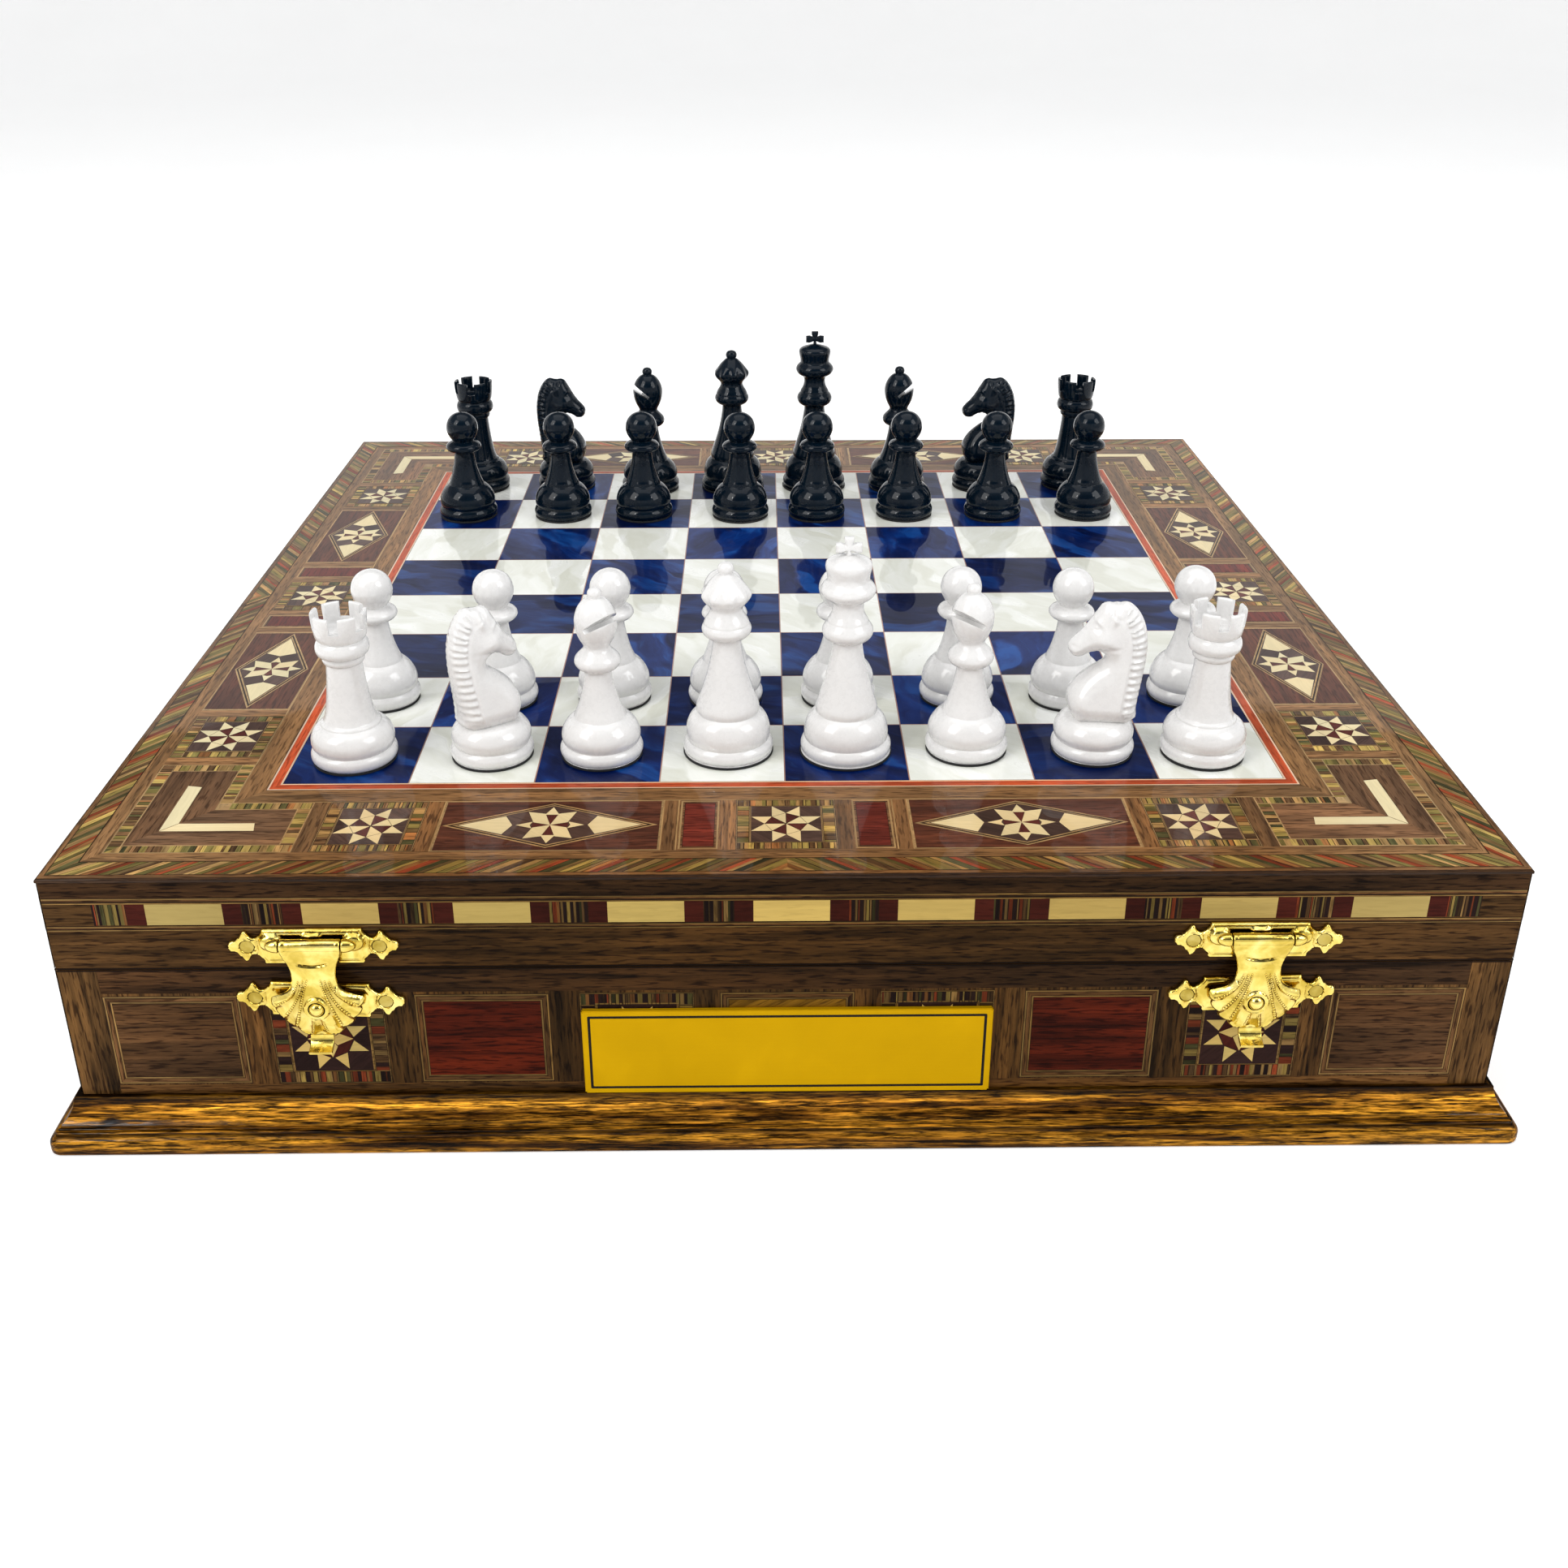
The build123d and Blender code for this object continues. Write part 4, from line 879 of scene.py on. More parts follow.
def skin_solid(k, z0, z1):
    """Backing sheet of one side face with an eased outer corner, outside at the veneer face."""
    o, i, e = CASE - 0.04, CASE - 0.6, 1.2
    pr = [(-i, -i), (i, -i)]
    arc = []
    for q in range(5):
        a = math.radians(45 * q / 4)
        arc.append((o - e + e * math.sin(a), -(o - e + e * math.cos(a))))
    right = arc[::-1]                                   # from the diagonal to the flat
    left = [(-x, y) for x, y in arc]
    outline = [(-i, -i), (i, -i)] + right + left        # closed loop, inner edge then outer edge
    n = len(outline)
    vs = []
    for z in (z0, z1):
        for x, y in outline:
            p = Vector((x, y, z))
            for _ in range(k):
                p = Vector((-p.y, p.x, p.z))
            vs.append(tuple(p))
    u = Vector((1, 0, 0))
    for _ in range(k):
        u = Vector((-u.y, u.x, u.z))
    fs = [([j, (j + 1) % n, n + (j + 1) % n, n + j], u) for j in range(n)]
    fs.append((list(range(n))[::-1], u))
    fs.append((list(range(n, 2 * n)), u))
    return vs, fs, "front"


def border_solid(k):
    """Backing of one length of the strings round the board."""
    prof = [(106.0, TOP - TOPV), (114.0, TOP - TOPV), (114.0, TOP - 0.03), (106.0, TOP - 0.03)]
    return mitred(prof, k, "walnut_lt")


def top_solid(k):
    """Backing of one top length: bevelled outer edge and mitred ends."""
    prof = [(114.0, TOP - TOPV), (CASE, TOP - TOPV), (CASE, TOP - 0.36), (CASE - 0.05, TOP - 0.21),
            (CASE - 0.13, TOP - 0.12), (CASE - 0.24, TOP - 0.05), (CASE - 0.36, TOP - 0.03), (114.0, TOP - 0.03)]
    return mitred(prof, k, "edge")


def mitred(prof, k, species):
    n = len(prof)
    vs = []
    for f in (-1, 1):
        for t, z in prof:
            p = Vector((f * (t - 0.0), -t, z))
            for _ in range(k):
                p = Vector((-p.y, p.x, p.z))
            vs.append(tuple(p))
    u = Vector((1, 0, 0))
    for _ in range(k):
        u = Vector((-u.y, u.x, u.z))
    fs = [([j, (j + 1) % n, n + (j + 1) % n, n + j], u) for j in range(n)]
    fs.append((list(range(n))[::-1], u))
    fs.append((list(range(n, 2 * n)), u))
    return vs, fs, species


def fix_normals(ob):
    bm = bmesh.new()
    bm.from_mesh(ob.data)
    bm.to_mesh(ob.data)
    bm.free()


build_inlay("top_marquetry_inlay", [(k, top_side(k)) for k in range(4)], top_place, "lid", ["top_marquetry"],
            [top_solid(k) for k in range(4)])
build_inlay("board_border_inlay", [(k, frame_line(k)) for k in range(4)], top_place, "lid", ["board_border"],
            [border_solid(k) for k in range(4)])
build_inlay("lid_band_inlay", [(k, lid_side(k)) for k in range(4)], face_place, "lid", ["lid_marquetry_band"],
            [skin_solid(k, SPLIT_HIGH, TOP - TOPV) for k in range(4)], "side")
build_inlay("case_panels_inlay", [(k, case_side(k)) for k in range(4)], face_place, "case", ["case_marquetry"],
            [skin_solid(k, PLINTH_H, SPLIT_LOW) for k in range(4)], "side")

# thin joint lines between the board squares
jl = Inlay(900)
for i in range(1, 8):
    c = -BOARD + i * SQ
    jl.rect(-BOARD, BOARD, c - 0.13, c + 0.13, "joint", 0, 2, 0.2)
    jl.rect(c - 0.13, c + 0.13, -BOARD, BOARD, "joint", 90, 2, 0.2)
build_inlay("board_joint_lines", [(0, jl)], lambda k, s, t, h: Vector((s, t, TOP + h - 0.012)), "lid", [])

dress("board_squares_blue", BLUE)
dress("board_squares_white", WHITE)


def plinth():
    """The moulding swept round the foot with softly rounded outer corners and a small nail hole at the front left."""
    prof = [(136.6, 0.0), (149.0, 0.0), (149.45, 0.14), (149.7, 0.45), (149.75, 0.9), (149.75, 2.3), (149.65, 2.8), (149.4, 3.25),
            (149.0, 3.65), (148.5, 3.95), (148.3, 4.0), (148.3, 4.65), (148.22, 4.72), (147.75, 4.72), (147.75, 5.2),
            (147.67, 5.27), (147.2, 5.27), (147.1, 5.65), (146.6, 6.15), (146.15, 6.6), (145.8, 7.1), (145.45, 7.7), (145.2, 8.2),
            (144.95, 8.8), (144.75, 9.4), (144.6, 10.1), (144.5, 10.8), (136.6, 10.8)]
    vs, loops = [], []
    for d, z in prof:
        r = max(0.02, 2.6 - (149.75 - d)) if d > 140 else 0.02
        loop = []
        for q in range(4):
            for j in range(7):
                a = math.radians(-90 + 90 * q + 15 * j)
                cx, cy = ((1, -1), (1, 1), (-1, 1), (-1, -1))[q]
                loop.append(len(vs))
                vs.append((((d - r) * cx + r * math.cos(a)) * MM, ((d - r) * cy + r * math.sin(a)) * MM, z * MM))
        loops.append(loop)
    fs = []
    n = len(loops[0])
    for a, b in zip(loops, loops[1:] + loops[:1]):
        for j in range(n):
            i = (j + 1) % n
            fs.append([a[j], a[i], b[i], b[j]])
    ob = new_object("plinth_moulding_swept", vs, fs, [PLINTH], None, True, 28)
    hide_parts("plinth_moulding")
    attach(ob, "case")


plinth()
for n in ("case_front", "case_back", "case_sides", "compartment_divider", "bottom_panel", "lid_frame", "lid_panel"):
    dress(n, INSIDE)
for n in ("case_felt_lining", "lid_felt_lining"):
    dress(n, FELT)
for n in ("case_hinge_leaves", "lid_hinge_leaves", "hinge_pins", "hasp_pins"):
    dress(n, GOLD)
for n in ("case_screws", "lid_screws"):
    dress(n, SCREW)


# ---------------------------------------------------------------------------
# name plate: bare satin plate with a fine border line
# ---------------------------------------------------------------------------
def name_plate():
    hw, z0, z1, y0, y1 = 41.0, PLINTH_H, 31.0, -CASE, -CASE - 1.0
    bm = bmesh.new()
    bmesh.ops.create_cube(bm, size=1.0)
    for v in bm.verts:
        v.co = Vector((v.co.x * 2 * hw, (y0 + y1) / 2 + v.co.y, (z0 + z1) / 2 + v.co.z * (z1 - z0)))
    edges = [e for e in bm.edges if abs(e.verts[0].co.y - e.verts[1].co.y) > 0.5]
    bmesh.ops.bevel(bm, geom=edges, offset=0.3, segments=4, affect="EDGES")
    front = [e for e in bm.edges if all(v.co.y < (y0 + y1) / 2 for v in e.verts)]
    bmesh.ops.bevel(bm, geom=front, offset=0.16, segments=3, affect="EDGES")
    for v in bm.verts:
        v.co *= MM
    me = bpy.data.meshes.new("name_plate_bare")
    bm.to_mesh(me)
    bm.free()
    me.materials.append(PLATE)
    me.polygons.foreach_set("use_smooth", [True] * len(me.polygons))
    me.set_sharp_from_angle(angle=math.radians(35))
    ob = bpy.data.objects.new("name_plate_bare", me)
    bpy.context.scene.collection.objects.link(ob)
    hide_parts("name_plate")
    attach(ob, "case")
    # border line: one closed frame with nearly square corners
    a, w = 1.2, 0.55
    vs, fs = [], []
    loops = []
    for off in (a, a + w):
        pts = []
        r = 0.3 if off == a else 0.12
        x, lo, hi = hw - off, z0 + off, z1 - off
        for cx, cz, st in ((x - r, hi - r, 0), (-x + r, hi - r, 90), (-x + r, lo + r, 180), (x - r, lo + r, 270)):
            for q in range(7):
                an = math.radians(st + 15 * q)
                pts.append((cx + r * math.cos(an), cz + r * math.sin(an)))
        loops.append(pts)
    n = len(loops[0])
    for h in (-0.01, 0.02):
        for lp in loops:
            for x, z in lp:
                vs.append((x * MM, (y1 - h) * MM, z * MM))
    for j in range(n):
        k = (j + 1) % n
        fs.append([2 * n + j, 2 * n + k, 3 * n + k, 3 * n + j])
        fs.append([j, k, 2 * n + k, 2 * n + j])
        fs.append([n + k, n + j, 3 * n + j, 3 * n + k])
    ob = new_object("name_plate_line", vs, fs, [LINE])
    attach(ob, "case")


name_plate()


# ---------------------------------------------------------------------------
# relief meshes: a flat outline filled with points, given a height on each face
# ---------------------------------------------------------------------------
def resample(pts, ds, closed=True):
    pts = [np.array(p, float) for p in pts]
    out = []
    n = len(pts)
    for i in range(n if closed else n - 1):
        a, b = pts[i], pts[(i + 1) % n]
        m = max(1, int(round(np.linalg.norm(b - a) / ds)))
        for j in range(m):
            out.append(a + (b - a) * j / m)
    return np.array(out)


def smooth_closed(pts, times=2, keep=()):
    """Chaikin corner cutting; the corners listed in keep stay sharp."""
    pts = [tuple(p) for p in pts]
    keep = {tuple(p) for p in keep}
    for _ in range(times):
        out = []
        n = len(pts)
        for i in range(n):
            p, q = pts[i], pts[(i + 1) % n]
            a = p if p in keep else (0.75 * p[0] + 0.25 * q[0], 0.75 * p[1] + 0.25 * q[1])
            b = q if q in keep else (0.25 * p[0] + 0.75 * q[0], 0.25 * p[1] + 0.75 * q[1])
            if not out or out[-1] != a:
                out.append(a)
            if b != a:
                out.append(b)
        if out[0] == out[-1]:
            out.pop()
        pts = out
    return pts


def inside(poly, P):
    x, y = P[:, 0], P[:, 1]
    res = np.zeros(len(P), bool)
    n = len(poly)
    for i in range(n):
        x1, y1 = poly[i]
        x2, y2 = poly[(i + 1) % n]
        c = (y1 > y) != (y2 > y)
        with np.errstate(divide="ignore", invalid="ignore"):
            xi = (x2 - x1) * (y - y1) / (y2 - y1 + 1e-30) + x1
        res ^= c & (x < xi)
    return res


def seg_distance(P, loop, want_param=False):
    A = loop
    B = np.roll(loop, -1, axis=0)
    best = np.full(len(P), 1e9)
    par = np.zeros(len(P))
    L = np.linalg.norm(B - A, axis=1)
    cum = np.concatenate([[0], np.cumsum(L)])
    for i in range(len(A)):
        d = B[i] - A[i]
        t = np.clip(((P - A[i]) @ d) / (d @ d + 1e-20), 0, 1)
        dist = np.linalg.norm(P - (A[i] + t[:, None] * d), axis=1)
        m = dist < best
        best[m] = dist[m]
        par[m] = cum[i] + t[m] * L[i]
    return (best, par) if want_param else best


def circle(cx, cy, r, n=24):
    return [(cx + r * math.cos(2 * math.pi * i / n), cy + r * math.sin(2 * math.pi * i / n)) for i in range(n)]


def relief(outline, ds, front, back, holes=(), extra=None):
    """Closed mesh over a flat outline: front(P, d, par) and back(P, d, par) give heights at points P."""
    ring = resample(outline, ds)
    if sum(ring[i][0] * ring[(i + 1) % len(ring)][1] - ring[(i + 1) % len(ring)][0] * ring[i][1]
           for i in range(len(ring))) < 0:
        ring = ring[::-1]
    loops = [ring] + [resample(h, ds) for h in holes]
    lo, hi = ring.min(0), ring.max(0)
    xs = np.arange(lo[0], hi[0], ds)
    ys = np.arange(lo[1], hi[1], ds * 0.866)
    G = np.array([(x + (0.5 * ds if j % 2 else 0), y) for j, y in enumerate(ys) for x in xs])
    G = G[inside(ring, G)]
    for h in loops[1:]:
        G = G[~inside(h, G)]
    d = np.min([seg_distance(G, lp) for lp in loops], axis=0)
    G = G[d > ds * 0.55]
    # the boundary loops go in with the inner points
    allp = [lp for lp in loops]
    nb = sum(len(lp) for lp in loops)
    P = np.vstack(allp + [G])
    edges, n0 = [], 0
    for lp in loops:
        m = len(lp)
        edges += [(n0 + i, n0 + (i + 1) % m) for i in range(m)]
        n0 += m
    res = delaunay_2d_cdt([Vector(p) for p in P], edges, [], 0, 1e-6)
    V = np.array([(v.x, v.y) for v in res[0]])
    T = np.array([f for f in res[2] if len(f) == 3])
    C = V[T].mean(1)
    ok = inside(ring, C)
    for h in loops[1:]:
        ok &= ~inside(h, C)
    T = T[ok]
    a = np.cross(V[T[:, 1]] - V[T[:, 0]], V[T[:, 2]] - V[T[:, 0]])
    T[a < 0] = T[a < 0][:, ::-1]
    dist, par = seg_distance(V, ring, True)
    dh = dist.copy()
    for h in loops[1:]:
        dh = np.minimum(dh, seg_distance(V, h))
    hf, hb = front(V, dh, par), back(V, dh, par)
    n = len(V)
    verts = np.vstack([np.column_stack([V, hf]), np.column_stack([V, hb])])
    faces = [tuple(t) for t in T] + [(t[0] + n, t[2] + n, t[1] + n) for t in T]
    # walls round every boundary edge
    count = {}
    for t in T:
        for i in range(3):
            e = (t[i], t[(i + 1) % 3])
            count[e] = count.get(e, 0) + 1
    for (p, q) in count:
        if (q, p) not in count:
            faces.append((q, p, p + n, q + n))
    return verts, faces


def place_relief(name, data, to_world, mats, smooth=True, sharp=50):
    verts, faces = data
    W = [Vector(to_world(*v)) * MM for v in verts]
    ob = new_object(name, W, [list(map(int, f)) for f in faces], mats, None, smooth, sharp)
    bm = bmesh.new()
    bm.from_mesh(ob.data)
    bmesh.ops.remove_doubles(bm, verts=bm.verts, dist=1e-7)
    bmesh.ops.recalc_face_normals(bm, faces=bm.faces)
    bm.to_mesh(ob.data)
    bm.free()
    ob.data.set_sharp_from_angle(angle=math.radians(sharp))
    return ob


def join(obs, name):
    """One object from several meshes, all in world coordinates."""
    bm = bmesh.new()
    mats = []
    for o in obs:
        base = len(mats)
        me = o.data.copy()
        me.transform(o.matrix_world)
        for m in me.materials:
            if m not in mats:
                mats.append(m)
        idx = [mats.index(m) for m in me.materials]
        for p in me.polygons:
            p.material_index = idx[p.material_index] if idx else 0
        bm.from_mesh(me)
        bpy.data.meshes.remove(me)
    me = bpy.data.meshes.new(name)
    bm.to_mesh(me)
    bm.free()
    for m in mats:
        me.materials.append(m)
    for o in obs:
        bpy.data.objects.remove(o)
    ob = bpy.data.objects.new(name, me)
    bpy.context.scene.collection.objects.link(ob)
    return ob


def lathe(name, prof, mats, seg=64, center=(0, 0, 0), axis="Z", smooth=True, sharp=50, radial=None):
    """Turned solid from (radius, height) points; radial(r, z, angle) may change the radius."""
    verts, faces = [], []
    rings = []
    for r, z in prof:
        if r < 1e-6:
            rings.append([len(verts)])
            verts.append((0, 0, z))
        else:
            st = len(verts)
            for i in range(seg):
                a = 2 * math.pi * i / seg
                rr = radial(r, z, a) if radial else r
                verts.append((rr * math.cos(a), rr * math.sin(a), z))
            rings.append(list(range(st, st + seg)))
    for a, b in zip(rings, rings[1:]):
        for i in range(seg):
            j = (i + 1) % seg
            if len(a) == 1 and len(b) == 1:
                continue
            if len(a) == 1:
                faces.append([a[0], b[j], b[i]])
            elif len(b) == 1:
                faces.append([a[i], a[j], b[0]])
            else:
                faces.append([a[i], a[j], b[j], b[i]])
    out = []
    for x, y, z in verts:
        if axis == "X":
            x, y, z = z, x, y
        elif axis == "-Y":
            x, y, z = x, -z, y
        out.append(((x + center[0]) * MM, (y + center[1]) * MM, (z + center[2]) * MM))
    ob = new_object(name, out, faces, mats, None, smooth, sharp)
    bm = bmesh.new()
    bm.from_mesh(ob.data)
    bmesh.ops.recalc_face_normals(bm, faces=bm.faces)
    bm.to_mesh(ob.data)
    bm.free()
    ob.data.set_sharp_from_angle(angle=math.radians(sharp))
    return ob


def soften(prof, times=2, ends=True):
    """Open-profile corner cutting that keeps both ends."""
    pts = list(prof)
    for _ in range(times):
        out = [pts[0]]
        for p, q in zip(pts, pts[1:]):
            L = math.hypot(q[0] - p[0], q[1] - p[1])
            f = 0.25
            out.append((p[0] * (1 - f) + q[0] * f, p[1] * (1 - f) + q[1] * f))
            out.append((p[0] * f + q[0] * (1 - f), p[1] * f + q[1] * (1 - f)))
        out.append(pts[-1])
        pts = out
    return pts


# ---------------------------------------------------------------------------
# clasps
# ---------------------------------------------------------------------------
FLEUR = [(16.6, 0.0), (16.6, 0.5), (16.1, 1.1), (15.4, 1.15), (15.0, 1.25), (14.4, 2.0),
         (13.7, 3.0), (13.1, 3.5), (12.7, 3.1), (12.2, 2.2), (11.6, 1.75), (10.9, 1.9),
         (9.9, 3.0), (9.6, 3.9)]
FLEUR_OUT = FLEUR + [(-x, z) for x, z in reversed(FLEUR)] + [(-x, -z) for x, z in FLEUR[1:]] + \
    [(x, -z) for x, z in reversed(FLEUR[1:])]
FLEUR_OUT = smooth_closed(FLEUR_OUT, 1, keep=[(9.6, 3.9), (-9.6, 3.9), (-9.6, -3.9), (9.6, -3.9)])
LEAF_HALF = [(5.9, -0.2), (5.9, -1.3), (5.4, -2.6), (4.6, -4.2), (4.25, -6.0), (4.35, -7.8),
             (4.9, -9.3), (6.1, -10.5), (7.6, -11.3), (8.9, -11.9), (9.05, -12.6), (8.75, -13.5),
             (8.45, -13.9), (8.25, -15.0), (7.75, -15.7), (7.3, -16.0), (6.9, -17.0), (6.2, -17.6),
             (5.6, -17.9), (5.0, -18.7), (4.2, -19.3), (3.6, -19.5), (3.0, -20.1), (2.4, -20.5), (2.3, -21.0)]


def gauss(x, w):
    return np.exp(-(x / w) ** 2)


def edge_round(d, r):
    q = np.clip(d / r, 0, 1)
    return r * (np.sqrt(np.clip(1 - (1 - q) ** 2, 0, 1)) - 1)


def plate_relief(kind):
    def front(P, d, par):
        h = np.full(len(P), 1.0)
        h += edge_round(d, 0.34)
        body = (np.abs(P[:, 0]) < 9.8)
        h += 0.16 * gauss(d - 0.95, 0.22) * body                     # raised inner line
        h -= 0.12 * gauss(d - 0.6, 0.16) * body
        # lobes of the ends are cupped, with a rim
        end = np.abs(P[:, 0]) > 10.6
        h -= 0.16 * end * np.clip((d - 0.35) / 0.5, 0, 1)
        # dished seat round each hole
        for s in (-1, 1):
            q = np.hypot(P[:, 0] - s * 12.8, P[:, 1])
            h += 0.12 * gauss(q - 1.75, 0.25)
        # a waist fold between body and ends
        h -= 0.18 * gauss(np.abs(P[:, 0]) - 10.9, 0.35) * np.clip(d / 0.6, 0, 1)
        if kind == "hasp":
            for s in (-1, 1):
                ex = (P[:, 0] - s * 7.9) / 2.35
                ey = (P[:, 1] - 1.2) / 1.9
                q = ex ** 2 + ey ** 2
                h += np.where(q < 1, 1.55 * np.sqrt(np.clip(1 - q, 0, 1)) ** 0.8, 0)
            # pressed tongue over the knuckle
            ex, ey = P[:, 0] / 2.1, (P[:, 1] - 2.55) / 0.75
            q = ex ** 2 + ey ** 2
            h += np.where(q < 1, 0.7 * np.sqrt(np.clip(1 - q, 0, 1)), 0)
        else:
            q = np.hypot(P[:, 0], P[:, 1])
            h += 0.35 * np.clip(1 - q / 5.0, 0, 1)
        return h

    def back(P, d, par):
        return np.zeros(len(P))

    holes = [circle(s * 12.8, 0, 1.35, 28) for s in (-1, 1)]
    return relief(FLEUR_OUT, 0.27, front, back, holes)


def plate_to_world(cx, cz, turn=0.0):
    c, s = math.cos(math.radians(turn)), math.sin(math.radians(turn))
    return lambda u, v, h: (cx + u * c - v * s, -CASE - h, cz + u * s + v * c)


def screw_head(cx, cz, turn, end, slot_ang):
    """Small domed head sunk in the plate's hole."""
    c, s = math.cos(math.radians(turn)), math.sin(math.radians(turn))
    x, z = cx + end * 12.8 * c, cz + end * 12.8 * s
    prof = [(0, 0.0), (1.34, 0.0), (1.34, 0.42), (1.28, 0.55), (1.1, 0.68), (0.8, 0.78), (0.4, 0.83), (0, 0.84)]
    return lathe("sh", soften(prof, 1), [SCREW], 28, (x, -CASE, z), "-Y")


MID_PTS = [(-21.2, 0.10), (-20.0, 0.12), (-18.0, 0.60), (-15.5, 1.05), (-13.0, 1.30), (-10.5, 1.15), (-8.0, 0.75),
           (-6.0, 0.48), (-4.0, 0.5), (-2.0, 0.75), (-0.5, 0.93), (0.5, 0.95)]
# beaded ribs of the shell: start, bend and end, mirrored about the middle
RIBS = [((3.0, -7.3), (3.9, -11.0), (8.3, -13.3)), ((2.1, -7.2), (3.2, -12.2), (6.85, -16.0)),
        ((1.2, -7.1), (2.9, -12.6), (4.5, -18.3)), ((0.95, -16.6), (1.1, -18.0), (1.5, -20.0))]


def bezier(p, q, r, n):
    t = np.linspace(0, 1, n)[:, None]
    p, q, r = np.array(p), np.array(q), np.array(r)
    return (1 - t) ** 2 * p + 2 * t * (1 - t) * q + t ** 2 * r


RIB_LINES = [bezier(*r, 60) * np.array([f, 1.0]) for r in RIBS for f in (-1, 1)]


def rib_distance(P):
    best = np.full(len(P), 1e9)
    for line in RIB_LINES:
        d = np.min(np.linalg.norm(P[:, None, :] - line[None, :, :], axis=2), axis=1)
        best = np.minimum(best, d)
    return best


def leaf_mid(P):
    v = np.array([a for a, _ in MID_PTS])
    m = np.array([b for _, b in MID_PTS])
    base = np.interp(P[:, 1], v, m)
    shell = np.clip((-P[:, 1] - 6.5) / 4.0, 0, 1) * np.clip((21.0 + P[:, 1]) / 2.5, 0, 1)
    base = base - shell * 0.013 * P[:, 0] ** 2
    return base


def leaf_flutes(P):
    d = rib_distance(P)
    fade = np.clip((-P[:, 1] - 6.8) / 1.5, 0, 1) * np.clip((20.8 + P[:, 1]) / 0.6, 0, 1)
    channel = -0.55 * np.clip(d / 1.25, 0, 1) ** 0.8
    ridge = 0.12 * gauss(d, 0.25)
    return fade * (channel + ridge + 0.25)


def shell_outline():
    """Neck, shoulders and a rim of scallops, one between each pair of ribs."""
    half = [(5.9, -0.2), (5.9, -1.3), (5.4, -2.6), (4.7, -4.2), (4.3, -6.0), (4.35, -7.8), (4.8, -9.2), (5.9, -10.4),
            (7.5, -11.2), (8.8, -11.75)]
    valleys = [(9.05, -12.1), (8.45, -13.75), (7.0, -16.5), (4.7, -18.95), (2.3, -20.7)]
    rim = []
    for (x0, z0), (x1, z1) in zip(valleys, valleys[1:]):
        nx, nz = -(z1 - z0), (x1 - x0)
        L = math.hypot(nx, nz)
        nx, nz = nx / L, nz / L
        for i in range(9):
            t = i / 9
            h = 0.62 * math.sin(math.pi * t) ** 0.7 * min(1.0, L / 2.6)
            rim.append((x0 + (x1 - x0) * t + nx * h, z0 + (z1 - z0) * t + nz * h))
    half = smooth_open(half, 2) + rim + [(2.3, -20.7), (2.3, -21.0)]
    return half + [(-x, z) for x, z in reversed(half)]


def smooth_open(pts, times):
    for _ in range(times):
        out = [pts[0]]
        for p, q in zip(pts, pts[1:]):
            out.append((0.75 * p[0] + 0.25 * q[0], 0.75 * p[1] + 0.25 * q[1]))
            out.append((0.25 * p[0] + 0.75 * q[0], 0.25 * p[1] + 0.75 * q[1]))
        out.append(pts[-1])
        pts = out
    return pts


